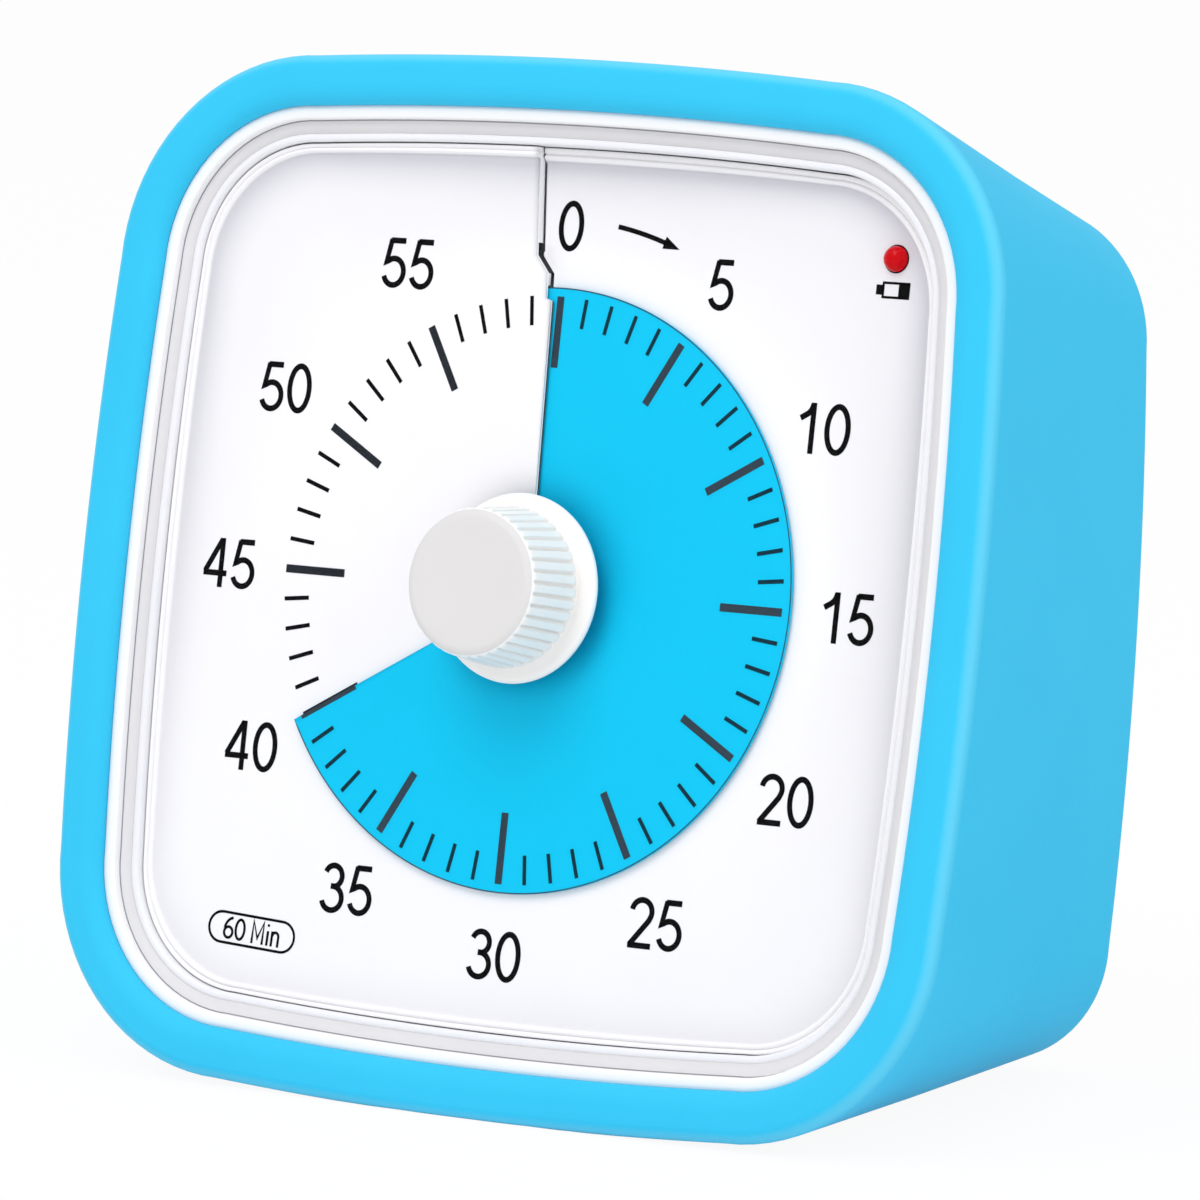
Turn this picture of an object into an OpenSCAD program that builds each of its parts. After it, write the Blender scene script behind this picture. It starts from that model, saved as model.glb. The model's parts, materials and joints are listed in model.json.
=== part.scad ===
// Visual countdown timer, sixty minutes: a leaning square case in a silicone sleeve, a printed
// dial with a slit, a coloured disc that winds out through the slit, and a quartz movement.
// Millimetres. X is to the right, +Y to the back and +Z up; the case stands on z = 0.
// Most pieces are written on the face frame: the knob's axis is y, and z runs up the face.

/* [Case] */
// Width across the bowed front edge of the sleeve
case_w = 82.5; // [81:0.5:86]
// Corner radius at the front edge
corner_r = 17; // [15:0.5:19]
// How far each long side bows outwards
side_bow = 0.75; // [0.4:0.05:1.1]
// Taper of the four sides, which is also the lean of the face
draft = 10.4; // [9:0.1:11.5]
// Slope of the back against the face
back_slope = 6.7; // [5:0.1:8]
// Depth that the flat foot cuts off the bowed underside
foot_cut = 0.2; // [0.1:0.05:0.35]

/* [Sleeve] */
// Thickness of the silicone on the sides
sleeve_wall = 1.5; // [1.2:0.1:1.8]
// Width of the lip over the front
lip_w = 4; // [3:0.1:4.2]
// Thickness of the lip
lip_t = 1.3; // [1:0.1:1.6]
// Depth of the lip's widest line behind its crown
ridge_drop = 1.2; // [0.9:0.1:1.5]
// Space between sleeve and housing
sleeve_gap = 0.1; // [0.05:0.05:0.2]

/* [Housing] */
// Wall of the two housings
housing_wall = 1.8; // [1.5:0.1:2]
// Depth of the housing's front face in front of the dial's plane
face_front = 2; // [1.9:0.1:2.4]
// Depth of the joint between front and rear housing
split_y = 16.4; // [16.3:0.1:17]
// White rim left between the lip and the window
rim_w = 1.1; // [0.8:0.1:1.4]
// Width of the ledge that carries the window
ledge_w = 1.65; // [1.4:0.05:2]
// How far the housing's back lies inside the sleeve's back edge
back_recess = 0.8; // [0.4:0.1:1.2]

/* [Window] */
// Thickness of the clear window
window_t = 0.5; // [0.4:0.05:0.55]
// Air between the raised disc and the window
window_gap = 0.2; // [0.15:0.05:0.3]
// Radius of the hole for the knob's neck
window_hole_r = 5.2; // [5:0.1:6]

/* [Dial and disc] */
// Thickness of the dial plate and of the disc
sheet_t = 0.25; // [0.2:0.01:0.28]
// Rise of both sheets in one turn
sheet_rise = 0.9; // [0.8:0.02:0.94]
// Radius of the disc
disc_r = 23.6; // [22:0.1:24.2]
// Angle of the slit over the disc, clockwise from the top
slit_angle = -1.5; // [-3:0.1:-1]
// Angle of the slit's upper stretch, clockwise from the top
slit_upper = -5.1; // [-6:0.1:-4.5]
// Minutes shown
minutes_shown = 40; // [5:1:55]

/* [Knob] */
// Radius of the flange
flange_r = 7.4; // [7:0.1:8]
// Thickness of the flange
flange_t = 0.8; // [0.6:0.1:1.2]
// Radius of the grip at the flange
grip_r = 6.35; // [6:0.05:6.6]
// Radius of the grip at its front
grip_tip_r = 5.8; // [5.5:0.05:6]
// Length of the grip
grip_l = 6.4; // [6:0.1:8]
// Number of ribs round the grip
rib_n = 40; // [36:2:56]
// Depth of the grooves between the ribs
rib_h = 0.35; // [0.25:0.05:0.5]

/* [Movement] */
// Radius of the spindle
spindle_r = 1.5; // [1.3:0.1:1.7]
// Radius of a wheel's arbor
arbor_r = 0.55; // [0.45:0.05:0.6]
// Radial clearance of every running fit
run_gap = 0.05; // [0.03:0.01:0.08]
// Tooth module of the train
tooth_size = 0.21; // [0.2:0.005:0.215]
// Space between the movement's case and the housing's wall
move_beside = 4.7; // [4.5:0.1:5.5]
// Depth inside the movement's case
move_room = 10.8; // [10.8:0.1:11]
// Wall of the movement's case
move_wall = 1.2; // [1:0.1:1.2]

/* [Battery and switches] */
// Diameter of the AA cell
cell_d = 14.5; // [13.8:0.1:14.5]
// Length of the AA cell over its button
cell_l = 50.5; // [49.5:0.1:50.5]
// Space round the cell
cell_gap = 0.4; // [0.2:0.1:0.5]
// Width of a slide switch's body
switch_w = 12; // [11:0.5:13]
// Travel of the three-step volume slider
volume_travel = 4; // [3:0.5:4.5]
// Travel of the two-step alarm slider
alarm_travel = 2.5; // [2:0.5:3]
// Clearance round a slider and round the door
slide_gap = 0.15; // [0.1:0.05:0.2]
// Space between the movement and the battery bay
bay_clear = 0.7; // [0.3:0.1:1]
// Space for a contact at each end of the cell
contact_room = 1.9; // [1.8:0.1:2.6]
// Radius of the buzzer
buzzer_r = 6; // [5:0.5:6.5]

/* [Hidden] */
$fn = 48;
eps = 0.01;
side_n = 6;
corner_n = 9;
tan_d = tan(draft);
lean = draft;
front_half = case_w / 2 - side_bow;
crown_y = -(face_front + lip_t);
ridge_y = crown_y + ridge_drop;
face_y = -face_front;
slope_k = tan(back_slope);
// outside of both housings is the sleeve's inside, less the gap
skin = sleeve_wall + sleeve_gap;
lip_half = front_half - lip_w;
pocket_half = lip_half - rim_w;
throat_half = pocket_half - ledge_w;
window_front = face_y + 0.1;
window_back = window_front + window_t;
// the disc's highest front face lies window_gap behind the window
sheet_step = sheet_rise / 2;
sheet_top = -window_back - window_gap;
plate_low = sheet_top - sheet_t / 2 - sheet_step - sheet_rise * (360 + slit_angle) / 360;
plate_gap = 0.15;
plate_half = throat_half - plate_gap;
plate_hole_r = 4.2;
// the slit steps aside at the disc's edge and again beyond it
notch_r = disc_r - 1.1;
notch_l = 0.2;
notch_angle = slit_angle - 1.25;
jog_low = disc_r + 1.1;
jog_high = jog_low + 1.4;
slit_w = 0.35;
disc_lead = minutes_shown * 6;
// height of the two sheets' middle, towards the viewer, at a clockwise angle
function plate_height(a) = plate_low + sheet_rise * a / 360;
function disc_height(back) = plate_height(disc_lead) + sheet_step - sheet_rise * back / 360;

flange_back = window_front - 0.2;
flange_front = flange_back - flange_t;
grip_front = flange_front - grip_l;
hub_r = 3.4;
hub_margin = 0.12;

support_y = 2.2;
support_t = 0.8;
support_r = disc_r + 1.4;
pad_r = 1.1;
pad_ring_r = 29.4;
pad_n = 12;
pad_rise = sheet_rise * pad_r / (2 * PI * pad_ring_r);

move_front = support_y + support_t;
move_in = move_front + move_wall;
move_cover = move_in + move_room;
move_back = move_cover + move_wall;
move_half = half_at(split_y) - skin - housing_wall - move_beside;
move_corner = 14;
bearing_r = 3;
move_screw_hole = 5;
boss_front = -plate_low + 0.9;
// three layers of wheels: centre wheel, second wheel, first wheel
layer_t = 0.7;
window_r = 2.4;
pinion_t = 1.6;
pinion_over = 0.45;
collar_room = 1.6;
layer_a = move_in + collar_room;
layer_step_b = 2;
layer_step_c = 4.8;
layer_b = layer_a + layer_step_b;
layer_c = layer_b + layer_step_c;
arbor_in = 0.8;
// 15 x 12 x 10: the rotor turns 1800 times while the spindle turns once
pinion_n = 8;
centre_n = 120;
second_n = 96;
first_n = 80;
second_at = polar2(tooth_size * (centre_n + pinion_n) / 2, 225);
first_at = second_at + polar2(tooth_size * (second_n + pinion_n) / 2, -25);
rotor_at = first_at + polar2(tooth_size * (first_n + pinion_n) / 2, 10);
magnet_r = 2.2;
stator_y = layer_b + 2.6;
stator_t = 0.8;
coil_beside = 4;
coil_z = 5.2;
coil_l = 17;
coil_r = 3.8;
coil_x = move_half - move_wall - coil_r - coil_beside;
core_w = 2.4;
yoke_half = 4.5;
stator_left = rotor_at[0] - yoke_half;
stator_right = coil_x + core_w / 2;
stator_top = coil_z + coil_l / 2 + core_w;
// posts under two corners of the stator
stator_posts = [[stator_left + 1.2, stator_top - 1.2], [stator_right - 1.2, rotor_at[1]]];

screw_in = 6.9;
screw_at = half_at(split_y) - skin - housing_wall - screw_in;
screw_out = screw_at * sqrt(2);
boss_r = 2.2;
boss_y = move_front + 2;
rib_t = 1.6;
screw_r = 0.9;
screw_head_r = 2;
screw_head_t = 1.4;
screw_seat = split_y + 4;
screw_l = 11;
post_r = 3.3;
move_screw_in = 6.5;
move_screw_at = move_half - move_screw_in;
move_post_r = 1.7;
move_screw_r = 0.6;
move_head_r = 1.4;
move_head_t = 0.7;
door_t = 0.9;
door_step = 0.7;
door_r = 3;
cell_depth = cell_d / 2 + 2 * door_t + cell_gap;
bay_half_l = cell_l / 2 + contact_room;
bay_half_h = cell_d / 2 + cell_gap;
bay_wall = 1;
bay_deep = cell_depth + cell_d / 2 + cell_gap;
// the depth from the dial's plane to the back, on the knob's axis, is what the pieces inside take
bay_up = 11.65;
cell_z = skin + housing_wall - half_at(split_y) + bay_up + bay_half_h;
bay_top = cell_z + bay_half_h + bay_wall;
back_depth = move_back + bay_clear + (bay_deep + bay_wall) * cos(back_slope)
             + bay_top * sin(back_slope) + back_recess;
back_in = back_depth - back_recess - housing_wall;
board_t = 1.2;
board_at = 7;
board_half = 26;
board_over_bay = 6.15;
board_below_top = 7.8;
board_low = bay_top + board_over_bay;
board_high = half_at(back_in) - skin - housing_wall - board_below_top;
board_screw_in = 3;
switch_x = 14.5;
switch_below_top = 10;
switch_z = board_high - switch_below_top;
switch_h = 5.5;
switch_t = 4.6;
slider_w = 3.2;
slider_h = 2.6;
slider_out = 0.9;
buzzer_t = 4.4;
led_in = [4.1, 6.1];
led_board_out = 1.8;
led_board_t = 0.8;
led_at = [plate_half, plate_half] - led_in;
led_r = 1;
led_y = window_back + led_r + 0.4;
lead_r = 0.5;
lead_beside = 8;
lead_reach = 2;
cell_button_r = 2.7;
cell_button_l = 1.5;
contact_half = 4;
contact_t = 0.6;
spring_r = 4.6;
spring_taper = 1.8;
spring_wire = 0.3;
clutch_arm = 5.4;
clutch_arm_w = 1.2;
clutch_t = 0.4;

floor_drop = front_half + side_bow - foot_cut;
axis_z = floor_drop * cos(lean) + ridge_y * sin(lean);
back_high_z = half_at(back_depth) / (1 + slope_k * tan_d);
back_high_y = back_depth - slope_k * back_high_z;
rear_reach = back_high_y * cos(lean) + (back_high_z + side_bow) * sin(lean);
front_reach = min(grip_front * cos(lean) - grip_tip_r * sin(lean),
                  crown_y * cos(lean) - (front_half - 1) * sin(lean));
axis_y = -(rear_reach + front_reach) / 2;

// ---- outlines and lofts -------------------------------------------------------------------

function polar2(r, a) = [r * cos(a), r * sin(a)];
function turned(p, a) = [p[0] * cos(a) - p[1] * sin(a), p[0] * sin(a) + p[1] * cos(a)];
function half_at(y) = front_half - (y - ridge_y) * tan_d;
function radius_at(y) = corner_r - (y - ridge_y) * tan_d;
function floor_at(y) = -floor_drop + (y - ridge_y) * tan_d;
// depth of the sloping back at a height
function back_y(z) = back_depth - back_recess - slope_k * z;

// square with round corners and bowed sides, counter-clockwise from the right side's foot
function bowed_square(half, r) =
    let (l = half - r)
    [for (k = [0:3]) each concat(
        [for (i = [0:side_n - 1])
            let (t = -l + 2 * l * i / side_n)
            turned([half + side_bow * (1 - pow(t / l, 2)), t], 90 * k)],
        [for (i = [0:corner_n - 1])
            turned([l, l] + polar2(r, 90 * i / corner_n), 90 * k)])];

// the outline at depth y, cut by a plane that comes forward by slope per millimetre of height
function ring(half, r, y, slope = 0) =
    [for (p = bowed_square(half, r))
        let (k = 1 / (1 - slope * tan_d * p[1] / half))
        [p[0] * k, y - slope * p[1] * k, p[1] * k]];
function tapered(y, inset, slope = 0) = ring(half_at(y) - inset, radius_at(y) - inset, y, slope);
function grounded(points) = [for (p = points) [p[0], p[1], max(p[2], floor_at(p[1]))]];
function strip(n, a, b) =
    [for (i = [0:n - 1]) let (j = (i + 1) % n) each [
        [a * n + i, a * n + j, b * n + j], [a * n + i, b * n + j, b * n + i]]];

// closed wall through a loop of rings
module loop_loft(rings) {
    n = len(rings[0]);
    m = len(rings);
    polyhedron([for (r = rings) each r],
               [for (k = [0:m - 1]) each strip(n, k, (k + 1) % m)], convexity = 6);
}

// solid from the first ring, at the front, to the last
module solid_loft(rings) {
    n = len(rings[0]);
    m = len(rings);
    polyhedron([for (r = rings) each r],
               concat([[for (i = [n - 1:-1:0]) i]],
                      [for (k = [0:m - 2]) each strip(n, k, k + 1)],
                      [[for (i = [0:n - 1]) (m - 1) * n + i]]), convexity = 4);
}

// thin sheet through columns of [radius, clockwise angle, height] points, first column first
module sheet(columns) {
    n = len(columns);
    m = len(columns[0]);
    pts = [for (c = columns, p = c, s = [0, 1])
        [p[0] * sin(p[1]), -p[2] - (0.5 - s) * sheet_t, p[0] * cos(p[1])]];
    function at(j, k, s) = (j * m + k) * 2 + s;
    function quad(a, b, c, d) = [[a, b, c], [a, c, d]];
    polyhedron(pts, [for (f = concat(
        [for (j = [0:n - 2], k = [0:m - 2])
            quad(at(j, k, 0), at(j, k + 1, 0), at(j + 1, k + 1, 0), at(j + 1, k, 0))],
        [for (j = [0:n - 2], k = [0:m - 2])
            quad(at(j, k, 1), at(j + 1, k, 1), at(j + 1, k + 1, 1), at(j, k + 1, 1))],
        [for (j = [0:n - 2]) quad(at(j, 0, 0), at(j + 1, 0, 0), at(j + 1, 0, 1), at(j, 0, 1))],
        [for (j = [0:n - 2])
            quad(at(j, m - 1, 0), at(j, m - 1, 1), at(j + 1, m - 1, 1), at(j + 1, m - 1, 0))],
        [for (k = [0:m - 2]) quad(at(0, k, 0), at(0, k, 1), at(0, k + 1, 1), at(0, k + 1, 0))],
        [for (k = [0:m - 2])
            quad(at(n - 1, k, 0), at(n - 1, k + 1, 0), at(n - 1, k + 1, 1), at(n - 1, k, 1))]
        )) each f], convexity = 6);
}

// ---- places -------------------------------------------------------------------------------

module on_face() translate([0, axis_y, axis_z]) rotate([-lean, 0, 0]) children();
module on_back()
    on_face() translate([0, back_depth - back_recess, 0]) rotate([back_slope, 0, 0]) children();
// a flat shape in x and z, from depth y0 to y1
module plate(y0, y1) translate([0, y1, 0]) rotate([90, 0, 0]) linear_extrude(y1 - y0) children();
module rod(at, r, y0, y1) translate([at[0], y0, at[1]]) rotate([-90, 0, 0]) cylinder(r = r, h = y1 - y0);
module block(x0, x1, y0, y1, z0, z1) translate([x0, y0, z0]) cube([x1 - x0, y1 - y0, z1 - z0]);
module four(d) for (x = [-d, d], z = [-d, d]) translate([x, 0, z]) children();

// rectangle with round corners, true arcs
module round_slab(half_x, half_y, r) {
    square([2 * half_x - 2 * r, 2 * half_y], center = true);
    square([2 * half_x, 2 * half_y - 2 * r], center = true);
    for (x = [-1, 1], y = [-1, 1]) translate([x * (half_x - r), y * (half_y - r)]) circle(r);
}
module round_square(half, r) round_slab(half, half, r);

// ---- case ---------------------------------------------------------------------------------

module silicone_sleeve() {
    round_in = lip_t * 0.4;
    color("deepskyblue") on_face() loop_loft([for (r = [
        ring(lip_half, corner_r - lip_w, face_y - eps),
        ring(lip_half, corner_r - lip_w, face_y - lip_t * 0.45),
        ring(lip_half + round_in * 0.3, corner_r - lip_w + round_in * 0.3, crown_y + round_in * 0.4),
        ring(lip_half + round_in, corner_r - lip_w + round_in, crown_y + 0.06),
        ring(lip_half + round_in * 2.4, corner_r - lip_w + round_in * 2.4, crown_y),
        ring(front_half - 1.1, corner_r - 1.1, crown_y + 0.05),
        ring(front_half - 0.5, corner_r - 0.5, crown_y + 0.3),
        ring(front_half - 0.15, corner_r - 0.15, crown_y + 0.7),
        tapered(ridge_y, 0),
        tapered(split_y, 0),
        tapered(back_depth, 0, slope_k),
        tapered(back_depth, sleeve_wall, slope_k),
        tapered(split_y, sleeve_wall),
        tapered(face_y - eps, sleeve_wall)]) grounded(r)]);
}

// distance from the axis to the middle of the housing wall, along a diagonal
function corner_reach(y) =
    let (h = half_at(y) - skin - housing_wall / 2, r = radius_at(y) - skin - housing_wall / 2)
    (h - r) * sqrt(2) + r;

module front_housing() {
    color("white") on_face() {
        loop_loft([
            ring(pocket_half, corner_r - lip_w - rim_w, face_y),
            tapered(face_y, skin),
            tapered(split_y, skin),
            tapered(split_y, skin + housing_wall),
            tapered(support_y, skin + housing_wall),
            ring(throat_half, corner_r - lip_w - rim_w - ledge_w, support_y),
            ring(throat_half, corner_r - lip_w - rim_w - ledge_w, window_back),
            ring(pocket_half, corner_r - lip_w - rim_w, window_back)]);
        // screw bosses, each on a rib that reaches the corner
        for (a = [45:90:315]) difference() {
            union() {
                rod(polar2(screw_out, a), boss_r, boss_y, split_y - 0.1);
                rotate([0, -a, 0])
                    block(screw_out, corner_reach(split_y), boss_y, split_y - 1, -rib_t / 2, rib_t / 2);
            }
            rod(polar2(screw_out, a), screw_r, screw_seat - screw_l - 1, split_y + 1);
        }
    }
}

module rear_housing() {
    bay_end = -bay_deep - bay_wall;
    color("white") difference() {
        union() {
            difference() {
                on_face() solid_loft([tapered(split_y + eps, skin),
                                      tapered(back_depth - back_recess, skin, slope_k)]);
                on_face() solid_loft([
                    tapered(split_y - 1, skin + housing_wall),
                    tapered(back_depth - back_recess - housing_wall, skin + housing_wall, slope_k)]);
            }
            // screw posts from the joint to the back wall
            on_face() for (x = [-screw_at, screw_at], z = [-screw_at, screw_at])
                rod([x, z], post_r, split_y + eps, back_y(z) - housing_wall / 2);
            // battery bay, open to the back
            on_back() difference() {
                block(-bay_half_l - bay_wall, bay_half_l + bay_wall, bay_end, -1,
                      cell_z - bay_half_h - bay_wall, cell_z + bay_half_h + bay_wall);
                block(-bay_half_l, bay_half_l, -bay_deep, 0,
                      cell_z - bay_half_h, cell_z + bay_half_h);
            }
            // posts for the circuit board
            on_back() for (x = [-1, 1], z = [board_low + 3, board_high - 3])
                rod([x * (board_half - 3), z], 2, -board_at, -1);
        }
        on_face() four(screw_at) {
            rod([0, 0], screw_r + 0.15, split_y - 1, back_depth);
            rod([0, 0], screw_head_r + 0.25, screw_seat, back_depth + 5);
        }
        on_back() {
            block(-bay_half_l, bay_half_l, -3, 1, cell_z - bay_half_h, cell_z + bay_half_h);
            translate([0, 0, cell_z]) plate(-door_t, 1)
                round_slab(bay_half_l + door_step, bay_half_h + door_step, door_r + slide_gap);
            slot(-switch_x, volume_travel);
            slot(switch_x, alarm_travel);
            rod([0, switch_z], 0.7, -3, 1);
            for (a = [0:60:300]) rod([0, switch_z] + polar2(2.6, a), 0.7, -3, 1);
            for (x = [-1, 1], z = [board_low + 3, board_high - 3])
                rod([x * (board_half - 3), z], screw_r - 0.1, -board_at - 1, -2.2);
        }
    }
}
module slot(x, travel) {
    w = (slider_w + travel) / 2 + slide_gap;
    block(x - w, x + w, -3, 1, switch_z - slider_h / 2 - slide_gap, switch_z + slider_h / 2 + slide_gap);
}

module window() {
    color("azure", 0.3) on_face() difference() {
        solid_loft([ring(pocket_half - 0.1, corner_r - lip_w - rim_w - 0.1, window_front),
                    ring(pocket_half - 0.1, corner_r - lip_w - rim_w - 0.1, window_back)]);
        rod([0, 0], window_hole_r, window_front - 1, window_back + 1);
    }
}

// ---- dial and disc ------------------------------------------------------------------------

// distance from the axis to the edge of the bowed square, at a clockwise angle
function edge_at(half, r, a) =
    let (s = abs(sin(a)), c = abs(cos(a)), l = half - r,
         flat = half / max(s, c), cross = flat * min(s, c),
         b = l * (s + c))
    cross <= l ? flat + side_bow * (1 - pow(cross / l, 2)) : b + sqrt(b * b - 2 * l * l + r * r);

module dial_plate() {
    n = 96;
    r = corner_r - lip_w - rim_w - ledge_w - plate_gap;
    color("white") on_face() difference() {
        sheet([for (j = [0:n])
            let (gap = slit_w * (0.5 - j / n),
                 inner = slit_angle + 360 * j / n,
                 notch = notch_angle + 360 * j / n,
                 upper = slit_upper + 360 * j / n,
                 edge = edge_at(plate_half, r, upper))
            [point_on(plate_hole_r, inner, gap), point_on(notch_r, inner, gap),
             point_on(notch_r + notch_l, notch, gap), point_on(jog_low, notch, gap),
             point_on(min(jog_high, edge - 1), upper, gap), point_on(edge, upper, gap)]]);
        rod(led_at, led_r + 0.1, -5, 5);
    }
}
// a sheet's point, moved sideways along its circle by a gap in millimetres
function point_on(r, a, gap) = [r, a + gap * 180 / (PI * r), plate_height(a)];

module dial_support() {
    color("gainsboro") on_face() {
        difference() {
            solid_loft([tapered(support_y, skin + housing_wall + 0.2),
                        tapered(support_y + support_t, skin + housing_wall + 0.2)]);
            rod([0, 0], support_r, support_y - 1, support_y + 2);
            four(screw_at) rod([0, 0], 0.9, support_y - 1, support_y + 2);
        }
        // pads that hold the dial plate at its own height
        for (i = [0:pad_n - 1]) let (a = (i + 0.5) * 360 / pad_n)
            rod(polar2(pad_ring_r, 90 - a), pad_r,
                -plate_height(a) + sheet_t / 2 + pad_rise, support_y + eps);
    }
}

module timer_disc() {
    n = 90;
    top = disc_height(0) + sheet_t / 2 + hub_margin;
    low = disc_height(360) - sheet_t / 2 - hub_margin;
    color("deepskyblue") on_face() difference() {
        union() {
            sheet([for (j = [n:-1:0]) let (back = 360 * j / n)
                [for (r = [hub_r - 0.4, disc_r]) [r, disc_lead - back, disc_height(back)]]]);
            rod([0, 0], hub_r, -top, -low);
        }
        keyed(spindle_r + run_gap, -top - 1, -low + 1);
    }
}
// round shaft with a flat, the shape of the spindle's front stretch
module keyed(r, y0, y1) difference() {
    rod([0, 0], r, y0, y1);
    block(-r - 1, r + 1, y0 - 1, y1 + 1, r - 0.45, r + 1);
}

// ---- knob and spindle ---------------------------------------------------------------------

module knob() {
    step = 360 / rib_n;
    ribbed_l = grip_l - 0.9;
    color("white") on_face() difference() {
        union() {
            // flange with a rounded rim
            translate([0, flange_back, 0]) rotate([90, 0, 0]) rotate_extrude()
                union() {
                    square([flange_r - flange_t / 2, flange_t]);
                    translate([flange_r - flange_t / 2, flange_t / 2]) circle(flange_t / 2, $fn = 24);
                }
            // neck through the window's hole
            rod([0, 0], hub_r, flange_back - eps, window_back - 0.2);
            // ribbed grip
            translate([0, flange_front + eps, 0]) rotate([90, 0, 0])
                linear_extrude(ribbed_l, scale = (grip_tip_r + 0.15) / grip_r)
                    polygon([for (i = [0:rib_n - 1], q = [[-0.46, 1], [-0.3, 0], [0.3, 0], [0.46, 1]])
                        polar2(grip_r - rib_h * q[1], (i + q[0]) * step)]);
            // smooth front rim and slightly hollow face
            translate([0, flange_front - ribbed_l + eps, 0]) rotate([90, 0, 0]) rotate_extrude()
                polygon(concat([[0, -1], [grip_tip_r - 1, -1]],
                    [for (a = [-20:15:90])
                        [grip_tip_r - 0.6, grip_l - ribbed_l - 0.6] + 0.6 * [cos(a), sin(a)]],
                    [[grip_tip_r - 1.4, grip_l - ribbed_l - 0.1], [0, grip_l - ribbed_l - 0.25]]));
        }
        keyed(spindle_r, grip_front + 2, 2);
    }
}

module spindle() {
    color("silver") on_face() {
        keyed(spindle_r, grip_front + 2.2, boss_front + 0.4);
        rod([0, 0], spindle_r, boss_front + 0.4 - eps, layer_b - 0.2);
        rod([0, 0], arbor_r + 0.3, layer_b - 0.2 - eps, move_cover + arbor_in);
        // collar behind the bearing
        rod([0, 0], spindle_r + 0.9, move_in + 0.2, layer_a - 0.15);
    }
}

// three-armed spring washer that presses the centre wheel to the collar
module clutch_spring() {
    y0 = layer_a + layer_t + 0.15;
    color("goldenrod") on_face() difference() {
        union() {
            rod([0, 0], spindle_r + 0.9, y0 + 0.25, y0 + 0.25 + clutch_t);
            for (a = [90:120:330]) plate(y0 + 0.25, y0 + 0.1 + clutch_t)
                rotate(a) translate([0, -clutch_arm_w / 2]) square([clutch_arm, clutch_arm_w]);
        }
        rod([0, 0], spindle_r, y0 - 1, y0 + 2);
    }
}

// ---- movement -----------------------------------------------------------------------------

function gear_outline(n, turn) =
    let (root = tooth_size * (n / 2 - 1.15), tip = tooth_size * (n / 2 + 0.8))
    [for (i = [0:n - 1], q = [[root, -0.62], [tip, -0.26], [tip, 0.26], [root, 0.62]])
        polar2(q[0], turn + 360 * i / n + asin(q[1] * tooth_size / q[0]))];

module gear(at, n, turn, y0, t) plate(y0, y0 + t) translate(at) polygon(gear_outline(n, turn));

// direction of one wheel's axis from another's
function heading(a, b) = atan2(b[1] - a[1], b[0] - a[0]);
// turn that puts a gap, or a tooth, of an n-tooth wheel at an angle
function gap_at(n, a) = a + 180 / n;

module movement_base() {
    color("ivory") on_face() difference() {
        union() {
            difference() {
                plate(move_front, move_cover) round_square(move_half, move_corner);
                plate(move_in, move_cover + 1) round_square(move_half - move_wall, move_corner - move_wall);
            }
            rod([0, 0], bearing_r, boss_front, move_front + eps);
            four(move_screw_at) rod([0, 0], move_post_r, move_in - eps, move_cover);
            for (p = stator_posts) rod(p, 1, move_in - eps, stator_y);
        }
        rod([0, 0], spindle_r + run_gap, boss_front - 1, move_in + 1);
        for (p = [second_at, first_at, rotor_at])
            rod(p, arbor_r + run_gap, move_in - arbor_in, move_in + 1);
        four(move_screw_at) rod([0, 0], move_screw_r, move_cover - move_screw_hole, move_cover + 1);
    }
}

module movement_cover() {
    color("ivory") on_face() difference() {
        plate(move_cover, move_back) round_square(move_half, move_corner);
        rod([0, 0], arbor_r + 0.3 + run_gap, move_cover - 1, move_cover + arbor_in + 0.1);
        for (p = [second_at, first_at, rotor_at])
            rod(p, arbor_r + run_gap, move_cover - 1, move_cover + arbor_in);
        four(move_screw_at) {
            rod([0, 0], move_screw_r + 0.15, move_cover - 1, move_back + 1);
            rod([0, 0], move_head_r + 0.15, move_back - move_head_t, move_back + 1);
        }
    }
}

module centre_wheel() {
    color("gold") on_face() difference() {
        gear([0, 0], centre_n, gap_at(centre_n, heading([0, 0], second_at)), layer_a, layer_t);
        rod([0, 0], spindle_r + run_gap, layer_a - 1, layer_a + 2);
        for (a = [0:60:300])
            rod(polar2(tooth_size * centre_n * 0.29, a), window_r, layer_a - 1, layer_a + 2);
    }
}

module arbor(at) rod(at, arbor_r, move_in - arbor_in + 0.1, move_cover + arbor_in - 0.1);

module second_wheel() {
    color("gold") on_face() {
        gear(second_at, second_n, gap_at(second_n, heading(second_at, first_at)), layer_b, layer_t);
        gear(second_at, pinion_n, heading(second_at, [0, 0]),
             layer_a - 0.45, layer_b - layer_a + 0.45 + eps);
        arbor(second_at);
    }
}

module first_wheel() {
    color("gold") on_face() {
        gear(first_at, first_n, gap_at(first_n, heading(first_at, rotor_at)), layer_c, layer_t);
        gear(first_at, pinion_n, heading(first_at, second_at), layer_b - 0.45, pinion_t);
        arbor(first_at);
    }
}

module rotor() {
    color("dimgray") on_face() {
        rod(rotor_at, magnet_r, stator_y - 0.6, stator_y + stator_t + 0.6);
        gear(rotor_at, pinion_n, heading(rotor_at, first_at), layer_c - 0.45, pinion_t);
        arbor(rotor_at);
    }
}

module stator() {
    z0 = rotor_at[1] - yoke_half;
    color("silver") on_face() plate(stator_y, stator_y + stator_t) difference() {
        union() {
            translate([stator_left, z0]) square([2 * yoke_half, 2 * yoke_half]);
            translate([stator_left, z0]) square([core_w, stator_top - z0]);
            translate([stator_left, stator_top - core_w])
                square([stator_right - stator_left, core_w]);
            translate([stator_right - core_w, rotor_at[1] - core_w / 2])
                square([core_w, stator_top - rotor_at[1] + core_w / 2]);
            translate([rotor_at[0], rotor_at[1] - core_w / 2])
                square([stator_right - rotor_at[0], core_w]);
        }
        translate(rotor_at) circle(magnet_r + 0.4);
    }
}

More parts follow.
